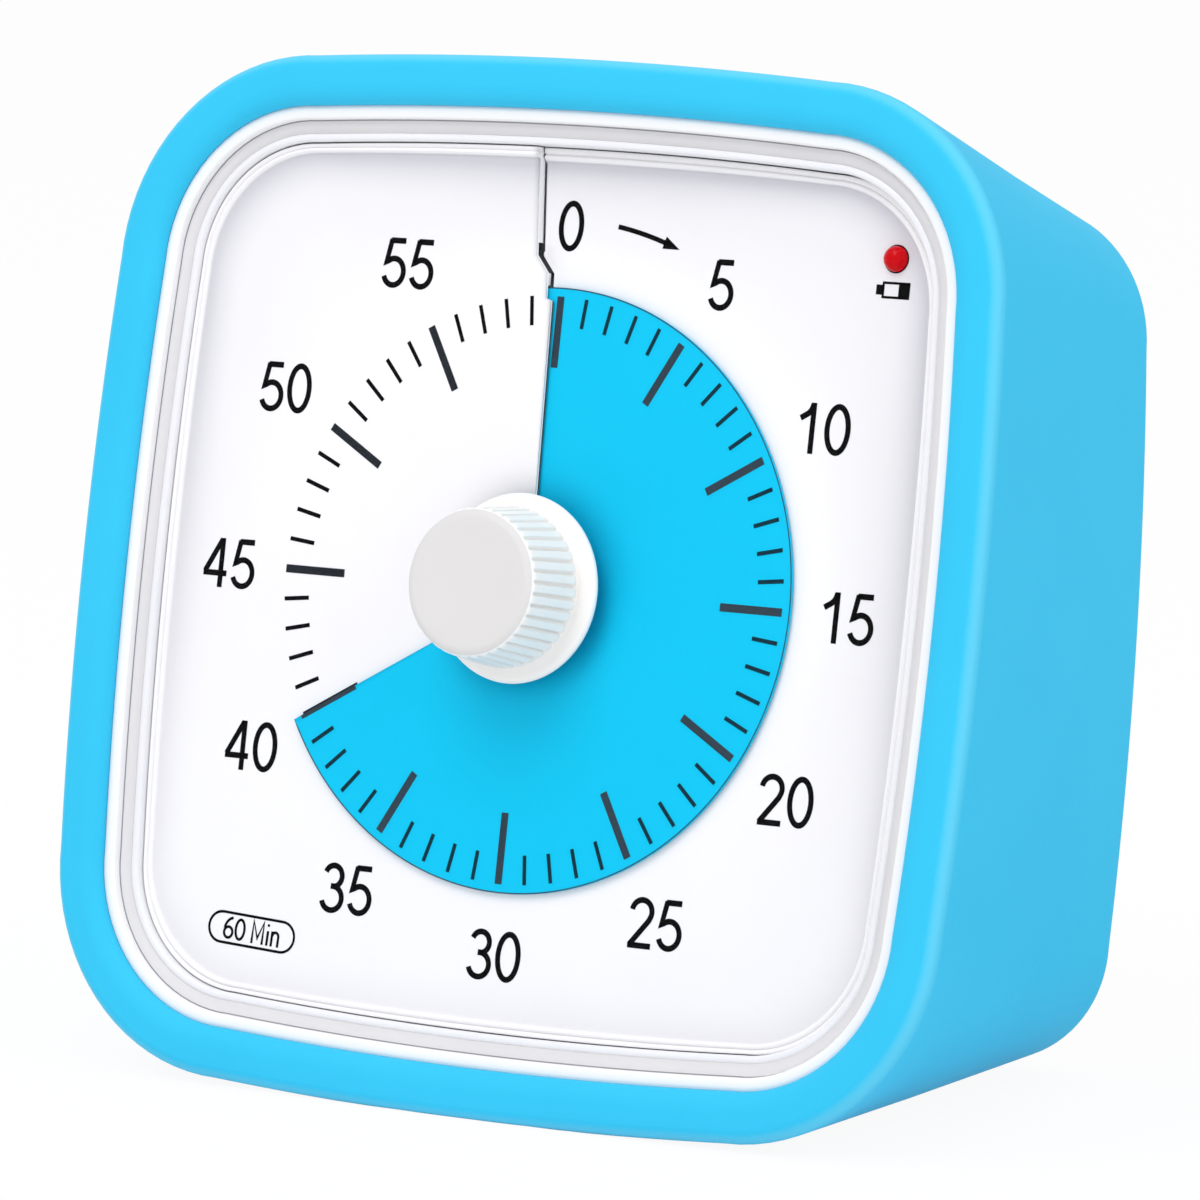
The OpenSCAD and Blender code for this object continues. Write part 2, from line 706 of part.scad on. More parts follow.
module coil_bobbin() {
    flange = 0.8;
    color("white") on_face() translate([coil_x, stator_y + stator_t / 2, coil_z]) difference() {
        union() {
            for (s = [0, 1]) mirror([0, 0, s]) translate([0, 0, coil_l / 2 - flange])
                cylinder(r = coil_r, h = flange);
            cylinder(r = 2, h = coil_l, center = true);
        }
        cube([core_w, stator_t, coil_l + 1], center = true);
    }
}

module coil_winding() {
    color("peru") on_face() translate([coil_x, stator_y + stator_t / 2, coil_z]) difference() {
        cylinder(r = coil_r - 0.4, h = coil_l - 1.6, center = true);
        cylinder(r = 2, h = coil_l, center = true);
    }
}

module movement_screws() {
    color("silver") on_face() four(move_screw_at) {
        rod([0, 0], move_screw_r, move_cover - move_screw_hole + 1, move_back - move_head_t + eps);
        rod([0, 0], move_head_r, move_back - move_head_t, move_back);
    }
}

// ---- electrics ----------------------------------------------------------------------------

module led_board() {
    color("seagreen") on_face()
        block(led_at[0] - led_board_out, led_at[0] + led_board_out, support_y - led_board_t, support_y,
              led_at[1] - led_board_out, led_at[1] + led_board_out);
}

module indicator_led() {
    color("red") on_face() {
        rod(led_at, led_r, led_y, support_y - led_board_t);
        translate([led_at[0], led_y, led_at[1]]) sphere(led_r);
    }
}

module circuit_board() {
    color("seagreen") on_back() difference() {
        block(-board_half, board_half, -board_at - board_t, -board_at, board_low, board_high);
        for (x = [-1, 1], z = [board_low + 3, board_high - 3])
            rod([x * (board_half - 3), z], screw_r + 0.2, -board_at - board_t - 1, -board_at + 1);
    }
}

module board_screws() {
    color("silver") on_back() for (x = [-1, 1], z = [board_low + 3, board_high - 3]) {
        rod([x * (board_half - 3), z], screw_r - 0.1, -board_at - board_t - eps, -3);
        rod([x * (board_half - 3), z], 1.6, -board_at - board_t - 0.9, -board_at - board_t);
    }
}

module buzzer() {
    color("dimgray") on_back() difference() {
        rod([0, switch_z], buzzer_r, -board_at, -board_at + buzzer_t);
        rod([0, switch_z], 1.2, -board_at + 1, -board_at + buzzer_t + 1);
    }
}

// body of a slide switch, with the channel that its slider runs in
module switch_body(x, travel) difference() {
    block(x - switch_w / 2, x + switch_w / 2, -board_at, -board_at + switch_t,
          switch_z - switch_h / 2, switch_z + switch_h / 2);
    block(x - switch_w / 2 + 1, x + switch_w / 2 - 1, -board_at + 1.2, -board_at + switch_t + 1,
          switch_z - slider_h / 2 - slide_gap, switch_z + slider_h / 2 + slide_gap);
}
// a slider rests at the left end of its travel, as seen from the front
module slider(x, travel) {
    c = x - travel / 2;
    block(c - slider_w / 2, c + slider_w / 2, -board_at + 1.2 + slide_gap, slider_out,
          switch_z - slider_h / 2, switch_z + slider_h / 2);
}
module volume_switch() color("silver") on_back() switch_body(-switch_x, volume_travel);
module volume_slider() color("black") on_back() slider(-switch_x, volume_travel);
module alarm_switch() color("silver") on_back() switch_body(switch_x, alarm_travel);
module alarm_slider() color("black") on_back() slider(switch_x, alarm_travel);

module battery_door() {
    w = bay_half_l - slide_gap;
    h = bay_half_h - slide_gap;
    color("white") on_back() difference() {
        union() {
            translate([0, 0, cell_z]) plate(-door_t, 0)
                round_slab(w + door_step, h + door_step, door_r);
            block(-w, w, -door_t - 0.8, -door_t + eps, cell_z - h, cell_z + h);
        }
        // grip grooves along the upper edge
        for (x = [-4:2:4]) block(x - 0.4, x + 0.4, -0.5, 1, cell_z + 2, cell_z + 6);
    }
}

module battery_cell() {
    color("darkgoldenrod") on_back() translate([0, -cell_depth, cell_z]) rotate([0, 90, 0]) {
        translate([0, 0, -cell_l / 2]) cylinder(d = cell_d, h = cell_l - cell_button_l);
        translate([0, 0, cell_l / 2 - cell_button_l - eps]) cylinder(r = cell_button_r, h = cell_button_l);
    }
}

module positive_contact() {
    x = cell_l / 2;
    color("silver") on_back() {
        block(x, x + contact_t, -cell_depth - contact_half, -cell_depth + contact_half,
              cell_z - contact_half, cell_z + contact_half);
        block(x + contact_t - eps, bay_half_l, -cell_depth - contact_half / 2,
              -cell_depth + contact_half / 2, cell_z - contact_half / 2, cell_z + contact_half / 2);
    }
}

// cone spring between the bay's wall and the cell's flat end
module negative_spring() {
    turns = 3;
    per_turn = 16;
    sides = 6;
    x0 = -bay_half_l + spring_wire;
    x1 = -cell_l / 2 - spring_wire;
    n = turns * per_turn;
    rings = [for (i = [0:n]) let (a = 360 * i / per_turn, r = spring_r - spring_taper * i / n)
        [for (k = [0:sides - 1]) let (b = 360 * k / sides)
            let (out = r + spring_wire * cos(b))
            [x0 + (x1 - x0) * i / n + spring_wire * sin(b), -cell_depth + out * cos(a),
             cell_z + out * sin(a)]]];
    color("silver") on_back() solid_loft(rings);
}

module housing_screws() {
    color("silver") on_face() four(screw_at) {
        rod([0, 0], screw_r, screw_seat - screw_l, screw_seat + eps);
        rod([0, 0], screw_head_r, screw_seat, screw_seat + screw_head_t);
    }
}

// red and black wires from the battery bay up to the board
module battery_leads() {
    top = board_low + lead_reach;
    low = cell_z + bay_half_h + bay_wall;
    for (x = [-1, 1]) color(x > 0 ? "crimson" : "black") on_back()
        translate([x * lead_beside, -board_at - board_t - lead_r, low])
            cylinder(r = lead_r, h = top - low, $fn = 16);
}

silicone_sleeve();
front_housing();
rear_housing();
window();
dial_plate();
dial_support();
timer_disc();
knob();
spindle();
clutch_spring();
movement_base();
movement_cover();
centre_wheel();
second_wheel();
first_wheel();
rotor();
stator();
coil_bobbin();
coil_winding();
led_board();
indicator_led();
circuit_board();
buzzer();
volume_switch();
volume_slider();
alarm_switch();
alarm_slider();
battery_door();
battery_cell();
positive_contact();
negative_spring();
housing_screws();
movement_screws();
board_screws();
battery_leads();
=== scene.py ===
# %% [markdown]
# # A visual countdown timer
# The object is a leaning square clock case in a soft silicone sleeve. A white knob winds a blue
# disc out through a slit in a printed dial, and the disc shows the minutes that are left.
# The engineering model gives every piece its place. This lesson dresses it: smooth surfaces
# for the pieces that the eye rests on, printing on the dial, and one finish for each material.
# All lengths on the object are millimetres, and `to_scene` turns them into metres at the very
# end. The studio round it is set out in metres.

# %% Load the engineering model
import json
import math

import bpy
import numpy as np
from mathutils import Matrix, Vector


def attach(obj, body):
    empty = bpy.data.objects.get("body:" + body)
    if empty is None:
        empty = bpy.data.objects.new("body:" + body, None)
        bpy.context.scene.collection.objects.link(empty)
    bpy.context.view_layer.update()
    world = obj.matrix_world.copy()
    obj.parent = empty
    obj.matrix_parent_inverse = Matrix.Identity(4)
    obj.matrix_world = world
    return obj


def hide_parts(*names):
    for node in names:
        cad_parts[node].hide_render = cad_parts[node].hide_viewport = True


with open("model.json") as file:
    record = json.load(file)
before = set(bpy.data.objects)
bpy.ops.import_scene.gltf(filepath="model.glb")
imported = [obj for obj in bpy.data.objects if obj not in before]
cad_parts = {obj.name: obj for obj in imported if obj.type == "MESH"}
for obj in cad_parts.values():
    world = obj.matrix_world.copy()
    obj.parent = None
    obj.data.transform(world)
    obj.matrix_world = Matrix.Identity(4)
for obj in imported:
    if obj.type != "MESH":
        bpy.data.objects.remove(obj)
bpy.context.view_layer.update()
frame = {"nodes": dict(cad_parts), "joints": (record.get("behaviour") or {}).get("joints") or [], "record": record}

# %% [markdown]
# ## The face frame
# The face leans back by as much as the sides taper, so that the case stands on its lowest side.
# Nearly every shape here is simpler on the face itself: x to the right, z up the face, and y
# into the case, from the point where the knob's axis meets the dial. The knob's joint in the
# record holds that point and that axis, so the frame is read from it instead of copied.

# %% From the face frame to the scene
turning = next(j for j in frame["joints"] if j["name"] == "knob_turn")
AXIS_POINT = np.array(turning["pos_m"]) * 1000
LEAN = math.asin(-turning["axis"][2])
FACE = np.array([[1, 0, 0],
                 [0, math.cos(LEAN), math.sin(LEAN)],
                 [0, -math.sin(LEAN), math.cos(LEAN)]])


def to_scene(points):
    """Face frame in millimetres to scene metres: lean the points back, then move the origin."""
    return (np.asarray(points) @ FACE.T + AXIS_POINT) / 1000


print("the face leans back by", round(math.degrees(LEAN), 2), "degrees")

# %% [markdown]
# ## Surfaces from numbers
# A modelled surface can be pushed and pulled by hand, or worked out. Here each one is a grid of
# points, computed at once as an array, and neighbours in the grid become four-sided faces.
# Where a row or a column meets itself again the grid wraps round. A closed surface must face
# outwards, and the sign of the volume it encloses tells whether it does.

# %% A grid of points becomes a mesh
def grid_faces(rows, columns, wrap_rows, wrap_columns):
    """Quads between neighbours of a rows x columns grid; wrapping joins the last to the first."""
    i = np.arange(rows if wrap_rows else rows - 1)[:, None]
    j = np.arange(columns if wrap_columns else columns - 1)[None, :]
    i2, j2 = (i + 1) % rows, (j + 1) % columns
    quads = np.stack(np.broadcast_arrays(
        i * columns + j, i * columns + j2, i2 * columns + j2, i2 * columns + j), -1)
    return quads.reshape(-1, 4)


def signed_volume(points, quads):
    """Six tetrahedra sums to a volume: positive when the faces of a closed surface point out."""
    a, b, c, d = (points[quads[:, k]] for k in range(4))
    return float((np.einsum("ij,ij->i", a, np.cross(b, c))
                  + np.einsum("ij,ij->i", a, np.cross(c, d))).sum() / 6)


def make_piece(name, points, quads, body, slot, smooth=True, flip=None, finish_of=None):
    """Puts points and quads into one mesh object at the origin, facing out, riding on a body."""
    points = np.asarray(points, float).reshape(-1, 3)
    if flip is None:
        flip = signed_volume(points, quads) < 0
    if flip:
        quads = quads[:, ::-1]
    placed = to_scene(points)
    mesh = bpy.data.meshes.new(name)
    mesh.vertices.add(len(placed))
    mesh.vertices.foreach_set("co", placed.ravel())
    mesh.loops.add(quads.size)
    mesh.loops.foreach_set("vertex_index", quads.ravel())
    mesh.polygons.add(len(quads))
    mesh.polygons.foreach_set("loop_start", np.arange(0, quads.size, 4))
    mesh.polygons.foreach_set("use_smooth", np.full(len(quads), smooth))
    mesh.update(calc_edges=True)
    mesh.validate()
    piece = bpy.data.objects.new(name, mesh)
    bpy.context.scene.collection.objects.link(piece)
    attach(piece, body)
    for material in finish_of or [finishes[slot]]:
        mesh.materials.append(material)
    print(name, len(quads), "faces")
    return piece


def tint_edges(piece, values):
    """Stores one number for each point of the mesh, which its finish reads as painted_light_share: the share of
    painted light, a highlight on the sleeve's ridge and a shade on the dial's border.
    """
    field = piece.data.attributes.new("painted_light_share", "FLOAT", "POINT")
    field.data.foreach_set("value", np.asarray(values, np.float32).ravel())


def finish_faces(piece, numbers):
    """Gives each face of the mesh the number of its finish in the piece's own list."""
    piece.data.polygons.foreach_set("material_index", numbers)
    piece.data.update()


# %% [markdown]
# ## Colours and nodes
# Paint charts and screens give colours as sRGB hex values. The shader wants linear light, so one
# function converts them. One more small function adds any shader node with its settings and its
# links, which keeps the recipes below short enough to read.

# %% Helpers for materials
def linear(code):
    """sRGB hex to linear colour: a straight stretch near black, then a power of 2.4."""
    c = np.array([int(code[k:k + 2], 16) for k in (1, 3, 5)]) / 255
    return [*np.where(c < 0.04045, c / 12.92, ((c + 0.055) / 1.055) ** 2.4), 1.0]


def add(material, kind, inputs=None, **settings):
    """Adds one shader node; a socket given as an input is linked, and anything else is a value."""
    made = material.node_tree.nodes.new("ShaderNode" + kind)
    for key, value in settings.items():
        setattr(made, key, value)
    for key, value in (inputs or {}).items():
        if isinstance(value, bpy.types.NodeSocket):
            material.node_tree.links.new(value, made.inputs[key])
        else:
            made.inputs[key].default_value = value
    return made


def blend(material, share, first, second):
    """Mixes two colours; a colour Mix node takes them at 6 and 7 and gives the result at 2."""
    return add(material, "Mix", {0: share, 6: first, 7: second}, data_type="RGBA").outputs[2]


def new_material(name):
    """A material without any node."""
    material = bpy.data.materials.new(name)
    material.use_nodes = True
    material.node_tree.nodes.clear()
    return material


# %% [markdown]
# ## Moulded plastics and rubber
# A moulded surface copies the steel of its mould. ABS leaves a polished or lightly spark-eroded
# mould, so it shows a faint even grain and soft highlights. Silicone is moulded matt, keeps a
# finer grain and holds a trace of dust, so its highlights are broad and weak. Both are one
# recipe with other numbers: a base colour that wanders very little, a roughness that wanders a
# little more, and a bump whose grain is given in millimetres. The real grain is about 0.05 mm,
# too fine to show at this distance, so it is drawn four or more times as coarse.

# %% One recipe for everything that comes out of a mould
PATCH = 9.0    # mm across a patch of slightly other colour


def moulded(name, colour, shade, roughness, grain, depth, ior=1.5, specular=0.5, edge=None):
    """Colour drifts to shade in patches; roughness and bump follow a grain given in mm.
    The edge colour is painted light, the sleeve's painted highlight and the dial's painted shade; it comes in
    where the piece's own attribute painted_light_share rises above 0."""
    material = new_material(name)
    place = add(material, "TexCoord").outputs["Object"]
    patches = add(material, "TexNoise", {"Vector": place, "Scale": 1000 / PATCH, "Detail": 2.0})
    tint = blend(material, patches.outputs["Fac"], linear(colour), linear(shade))
    if edge:
        near = add(material, "Attribute", attribute_name="painted_light_share")
        tint = blend(material, near.outputs["Fac"], tint, linear(edge))
    speck = add(material, "TexNoise", {"Vector": place, "Scale": 1000 / grain, "Detail": 3.0,
                                       "Roughness": 0.6})
    dull = add(material, "MapRange", {"Value": speck.outputs["Fac"], "From Min": 0.3,
                                      "From Max": 0.7, "To Min": roughness - 0.05,
                                      "To Max": roughness + 0.05})
    relief = add(material, "Bump", {"Height": speck.outputs["Fac"], "Strength": 0.35,
                                    "Distance": depth / 1000})
    surface = add(material, "BsdfPrincipled", {
        "Base Color": tint, "Roughness": dull.outputs["Result"],
        "Normal": relief.outputs["Normal"], "IOR": ior, "Specular IOR Level": specular})
    add(material, "OutputMaterial", {"Surface": surface.outputs[0]})
    return material


# %% [markdown]
# ## Metals
# Stamped brass wheels, nickel-plated contacts and steel laminations keep fine parallel marks
# from rolling. They are drawn as noise stretched along one direction, which disturbs only the
# roughness and, very slightly, the normal. The colour of a metal is its reflection, so the base
# colour is that of the bare metal.

# %% One recipe for rolled, drawn and plated metal
def rolled(name, colour, shade, roughness, mark, stretch=(1.0, 8.0, 1.0)):
    """Metal with rolling marks: noise whose cells are mark mm wide and stretched along y."""
    material = new_material(name)
    place = add(material, "TexCoord").outputs["Object"]
    lengthened = add(material, "Mapping", {"Vector": place,
                                           "Scale": [1.0 / s for s in stretch]})
    marks = add(material, "TexNoise", {"Vector": lengthened.outputs["Vector"],
                                       "Scale": 1000 / mark, "Detail": 4.0})
    tint = blend(material, marks.outputs["Fac"], linear(colour), linear(shade))
    dull = add(material, "MapRange", {"Value": marks.outputs["Fac"],
                                      "To Min": roughness - 0.08, "To Max": roughness + 0.12})
    relief = add(material, "Bump", {"Height": marks.outputs["Fac"], "Strength": 0.2,
                                    "Distance": 0.00002})
    surface = add(material, "BsdfPrincipled", {
        "Base Color": tint, "Roughness": dull.outputs["Result"],
        "Normal": relief.outputs["Normal"], "Metallic": 1.0})
    add(material, "OutputMaterial", {"Surface": surface.outputs[0]})
    return material


# %% [markdown]
# ## The clear window
# The window is 0.5 mm of polycarbonate. So thin a flat pane hardly bends light, and what the eye
# notices is the dial behind it and a trace of reflection. A see-through shader mixed with a
# smooth glossy one gives that without the noise of true refraction. The share of gloss is next
# to nothing straight on and rises with the fifth power of the slant, and only the outer face of
# the pane reflects.

# %% Clear polycarbonate
def clear_pane(name):
    """See-through, with a thin reflection that grows towards grazing angles."""
    material = new_material(name)
    place = add(material, "TexCoord").outputs["Object"]
    wiped = add(material, "TexNoise", {"Vector": place, "Scale": 1000 / 6.0, "Detail": 5.0})
    dull = add(material, "MapRange", {"Value": wiped.outputs["Fac"], "To Min": 0.03,
                                      "To Max": 0.09})
    slant = add(material, "LayerWeight", {"Blend": 0.5}).outputs["Facing"]
    rise = add(material, "Math", {0: slant, 1: 5.0}, operation="POWER")
    curve = add(material, "MapRange", {"Value": rise.outputs[0], "To Min": 0.002, "To Max": 0.6})
    inside = add(material, "NewGeometry").outputs["Backfacing"]
    outside = add(material, "Math", {0: 1.0, 1: inside}, operation="SUBTRACT")
    share = add(material, "Math", {0: curve.outputs["Result"], 1: outside.outputs[0]},
                operation="MULTIPLY")
    clear = add(material, "BsdfTransparent", {"Color": linear("#fdfdfe")})
    gloss = add(material, "BsdfGlossy", {"Color": linear("#ffffff"),
                                         "Roughness": dull.outputs["Result"]})
    both = add(material, "MixShader", {0: share.outputs[0], 1: clear.outputs[0],
                                       2: gloss.outputs[0]})
    add(material, "OutputMaterial", {"Surface": both.outputs[0]})
    return material


# %% A finish for each material slot of the record
finishes = {
    # sky-blue silicone, matt from a blasted mould, with a paler colour painted along its ridge as a highlight
    "silicone": moulded("moulded_silicone_sky_blue", "#33c3ee", "#2fbeea", 0.62, 0.25, 0.012,
                        ior=1.41, specular=0.25, edge="#84dcf4"),
    # white ABS, satin
    "white_abs": moulded("moulded_abs_white", "#f4f4f5", "#efeff1", 0.38, 0.30, 0.01),
    "clear_window": clear_pane("clear_polycarbonate"),
    # printed polypropylene sheet, calendered smooth; greyer where the window's frame shades it
    "dial_sheet": moulded("calendered_polypropylene_white", "#fbfafa", "#f8f7f7", 0.55, 0.20,
                          0.003, specular=0.2, edge="#cdccd1"),
    "support_plastic": moulded("moulded_polystyrene_grey_white", "#d9d9dc", "#d2d2d6", 0.5, 0.3,
                               0.01),
    "disc_sheet": moulded("calendered_polypropylene_blue", "#0ac9f1", "#09c5ee", 0.6, 0.20,
                          0.003, specular=0.08),
    "knob_plastic": moulded("moulded_abs_white_polished", "#f7f5f4", "#f3f1f0", 0.35, 0.25,
                            0.004),
    "steel": rolled("turned_steel", "#bfc1c4", "#a9abae", 0.35, 0.15),
    "spring_bronze": rolled("phosphor_bronze_strip", "#c9975a", "#b58246", 0.32, 0.2),
    "movement_plastic": moulded("moulded_acetal_natural", "#ece8da", "#e5e0cf", 0.4, 0.35, 0.01),
    "wheel_brass": rolled("stamped_brass", "#d9b764", "#c9a350", 0.3, 0.15),
    "magnet": rolled("sintered_ferrite", "#3b3b3e", "#2e2e31", 0.55, 0.2),
    "copper_wire": rolled("enamelled_copper_winding", "#c4703a", "#a85a2c", 0.3, 0.12,
                          (8.0, 1.0, 1.0)),
    "board_laminate": moulded("glass_epoxy_laminate_green", "#1f6b3c", "#1a5f35", 0.35, 0.6,
                              0.02),
    "red_led": moulded("red_epoxy_lens", "#d6000e", "#c4000b", 0.16, 0.5, 0.004, specular=0.1),
    "black_plastic": moulded("moulded_acetal_black", "#1b1b1d", "#141416", 0.45, 0.3, 0.015),
    "switch_metal": rolled("tinned_steel", "#b9bbbd", "#a2a4a7", 0.38, 0.2),
    "cell_jacket": moulded("lacquered_cell_jacket", "#8a6a2c", "#7d5f25", 0.25, 0.8, 0.004),
    "nickel_steel": rolled("nickel_plated_steel", "#cfcac2", "#bdb8b0", 0.22, 0.2),
    "wire_insulation": moulded("extruded_pvc_insulation", "#8c1a1e", "#7f1519", 0.4, 0.4, 0.01),
}
print(len(finishes), "finishes")


def printing_ink(name, colour, shade):
    """A film of matt ink, nearly without gloss."""
    return moulded(name, colour, shade, 0.6, 0.2, 0.003, specular=0.05)


ink = printing_ink("screen_printed_ink", "#060607", "#0b0b0c")
ink_heavy = printing_ink("screen_printed_ink_slate", "#24282d", "#2b3036")

# %% [markdown]
# ## Dressing the engineering nodes
# The nodes whose shape is already right stay as they are, and only take their finish. The slot of
# each one comes from the record, so nothing is listed twice.

# %% Give every node its finish
for part in frame["record"]["subparts"]:
    node = frame["nodes"][part["node"]]
    node.data.materials.clear()
    node.data.materials.append(finishes[part["material_slot"]])

# %% [markdown]
# ## The outline of the case
# The case is a square with round corners whose long sides bow outwards a little, as a moulding
# does that is meant to look soft. It tapers to the back. Each ring below is that outline at one
# depth: half the width and the corner radius shrink together with the taper, and the back of the
# case is cut by a plane that slopes against the face. The underside is cut flat, to stand on.

# %% Rings of the case
DRAFT = math.tan(LEAN)
BOW = 0.75
FRONT_HALF = 82.5 / 2 - BOW
CORNER = 17.0
RIDGE_Y, CROWN_Y, FACE_Y = -2.1, -3.3, -2.0
BACK_DEPTH, BACK_SLOPE = 35.0, math.tan(math.radians(6.7))
FOOT_CUT = 0.2
SIDE_STEPS, CORNER_STEPS = 32, 20


def outline(half, radius):
    """Rows of rings: for each half width and radius, points round the bowed square."""
    half, radius = np.atleast_1d(half)[:, None], np.atleast_1d(radius)[:, None]
    flat = half - radius
    s = np.linspace(-1, 1, SIDE_STEPS, endpoint=False)[None, :]
    side = np.stack([half + BOW * (1 - s ** 2), flat * s], -1)
    a = np.linspace(0, math.pi / 2, CORNER_STEPS, endpoint=False)[None, :]
    bend = np.stack([flat + radius * np.cos(a), flat + radius * np.sin(a)], -1)
    quarter = np.concatenate([side, bend], 1)
    quarter_turn = np.array([[0, 1], [-1, 0]])
    ring = [quarter]
    for _ in range(3):
        ring.append(ring[-1] @ quarter_turn)
    return np.concatenate(ring, 1)


def rings(half, radius, y, slope=0.0):
    """The outline at depth y, cut by a plane that comes forward by slope for each mm of height."""
    half, radius, y, slope = np.broadcast_arrays(*map(np.atleast_1d, (half, radius, y, slope)))
    flat = outline(half, radius)
    k = 1 / (1 - slope[:, None] * DRAFT * flat[..., 1] / half[:, None])
    return np.stack([flat[..., 0] * k, y[:, None] - slope[:, None] * flat[..., 1] * k,
                     flat[..., 1] * k], -1)


def tapered(y, inset, slope=0.0):
    """The outline of the tapered case at depth y, moved inwards by inset."""
    shrink = (np.atleast_1d(y) - RIDGE_Y) * DRAFT + inset
    return rings(FRONT_HALF - shrink, CORNER - shrink, y, slope)


def grounded(points):
    """Cuts the bowed underside flat, a little above its lowest line."""
    floor = -(FRONT_HALF + BOW - FOOT_CUT) + (points[..., 1] - RIDGE_Y) * DRAFT
    out = points.copy()
    out[..., 2] = np.maximum(points[..., 2], floor)
    return out


def rounding(start, corner, end, steps):
    """A quarter-ellipse from start to end whose tangents meet at corner; all are [inset, y]."""
    t = np.linspace(0, math.pi / 2, steps)[:, None]
    start, corner, end = (np.array(p, float) for p in (start, corner, end))
    return corner + (start - corner) * (1 - np.sin(t)) + (end - corner) * (1 - np.cos(t))


# %% [markdown]
# ## The silicone sleeve
# The sleeve is one piece of silicone that is stretched over the case. Its lip folds over the
# front and ends in a soft edge, its outer edge is a rounded ridge, and its sides are 1.5 mm
# thick. A profile runs once round the wall, from the lip over the ridge to the back edge and
# along the inside again, and every point of the profile becomes one ring of the case outline.
# Along the ridge a paler colour is painted on as a highlight.

# %% Sleeve
LIP_W, WALL = 4.0, 1.5
SPLIT_Y = 16.4
front = np.concatenate([
    [[LIP_W, FACE_Y - 0.01], [LIP_W, -2.15]],
    rounding([LIP_W, -2.2], [LIP_W, CROWN_Y], [LIP_W - 1.7, CROWN_Y], 12),
    [[1.8, CROWN_Y + 0.01], [1.4, CROWN_Y + 0.03]],
    rounding([1.1, CROWN_Y + 0.05], [0.0, CROWN_Y + 0.12], [0.0, RIDGE_Y], 12)])
lip = rings(FRONT_HALF - front[:, 0], CORNER - front[:, 0], front[:, 1])
side_y = np.linspace(RIDGE_Y + 0.6, SPLIT_Y, 14)
side = tapered(side_y, 0.0)
blend_y = np.linspace(SPLIT_Y, BACK_DEPTH, 15)[1:-1]
back_side = tapered(blend_y, 0.0, BACK_SLOPE * (blend_y - SPLIT_Y) / (BACK_DEPTH - SPLIT_Y))
hem = rounding([0.0, BACK_DEPTH - 0.5], [0.0, BACK_DEPTH], [0.5, BACK_DEPTH], 6)
hem_in = rounding([WALL - 0.3, BACK_DEPTH], [WALL, BACK_DEPTH], [WALL, BACK_DEPTH - 0.3], 4)
back_edge = [tapered([y], i, BACK_SLOPE) for i, y in np.concatenate([hem, hem_in])]
inner = tapered(np.array([SPLIT_Y, 6.0, FACE_Y - 0.01]), WALL)
sleeve_rings = grounded(np.concatenate([lip, side, back_side, *back_edge, inner]))
sleeve = make_piece("sleeve", sleeve_rings,
                    grid_faces(*sleeve_rings.shape[:2], True, True), "case", "silicone")
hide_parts("silicone_sleeve")
# painted highlight: the share of the paler colour for each ring of the lip, greatest at the ridge
RIDGE_IN, RIDGE_HIGHLIGHT = [0.0, 0.12, 0.4, 0.75], [0.25, 0.42, 0.3, 0.0]
sleeve_highlight = np.zeros(len(sleeve_rings))
sleeve_highlight[:len(front)] = np.interp(front[:, 0], RIDGE_IN, RIDGE_HIGHLIGHT)
tint_edges(sleeve, np.repeat(sleeve_highlight, sleeve_rings.shape[1]))

# %% [markdown]
# ## The front housing
# The white rim between the sleeve and the window belongs to the front housing. The window lies
# in a pocket on a ledge, which shows as a light grey band through the clear plastic. Inside the
# ledge a small bead runs round, and then the wall drops to the dial. The profile is again swept
# round the outline. Two of its rows take that light grey, and the one beside them is painted a
# darker grey as the shade in the narrow gap round the window.

# %% Housing front with rim, ledge and bead
RIM_W, LEDGE_W, BEAD_W = 1.05, 1.05, 0.65
WINDOW_BACK = -1.4
SKIN, HOUSING_WALL, SUPPORT_Y = 1.6, 1.8, 2.2
pocket = LIP_W + RIM_W
shelf = pocket + LEDGE_W
mouth = shelf + BEAD_W
LEDGE_Y = WINDOW_BACK + 0.03
GAP_W = 0.11
face_profile = np.concatenate([
    [[LIP_W - 1.8, FACE_Y], [LIP_W, FACE_Y], [LIP_W + 0.12, FACE_Y - 0.1],
     [LIP_W + 0.35, FACE_Y - 0.15], [pocket - 0.4, FACE_Y - 0.15]],
    rounding([pocket - 0.25, FACE_Y - 0.12], [pocket, FACE_Y - 0.1], [pocket, FACE_Y + 0.1], 5),
    [[pocket, LEDGE_Y - 0.02], [pocket + GAP_W, LEDGE_Y], [shelf - 0.02, LEDGE_Y]],
    [[shelf + 0.03, LEDGE_Y + 0.12], [shelf + 0.1, LEDGE_Y + 0.02],
     [shelf + 0.25, LEDGE_Y - 0.02]],
    rounding([mouth - 0.25, LEDGE_Y - 0.01], [mouth, LEDGE_Y], [mouth, LEDGE_Y + 0.3], 6),
    [[mouth, 0.5], [mouth, SUPPORT_Y]]])
inside = [tapered([y], SKIN + HOUSING_WALL) for y in (SUPPORT_Y, SPLIT_Y)]
outside = [tapered([y], SKIN) for y in (SPLIT_Y, 6.0, FACE_Y)]
housing_rings = np.concatenate([
    rings(FRONT_HALF - face_profile[:, 0], CORNER - face_profile[:, 0], face_profile[:, 1]),
    *inside, *outside])
# light grey on the window's ledge; the dial also takes it as painted shade in the groove of its border
ledge_grey_and_groove_shade = moulded("light_grey_of_ledge_and_painted_groove_shade", "#e7e5e5", "#e0dfdf", 0.5, 0.3, 0.004)
# painted shade: the darker grey of the narrow gap round the window
gap_shade = moulded("painted_shade_in_window_gap", "#97969b", "#8f8e94", 0.6, 0.3, 0.004)
housing = make_piece("housing_front", housing_rings,
                     grid_faces(*housing_rings.shape[:2], True, True), "case", "white_abs",
                     finish_of=[finishes["white_abs"], ledge_grey_and_groove_shade, gap_shade])
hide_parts("front_housing")
GAP_ROW, LEDGE_ROWS = 10, [11, 12]
row_finish = np.zeros(len(housing_rings), int)
row_finish[LEDGE_ROWS], row_finish[GAP_ROW] = 1, 2
finish_faces(housing, np.repeat(row_finish, housing_rings.shape[1]))

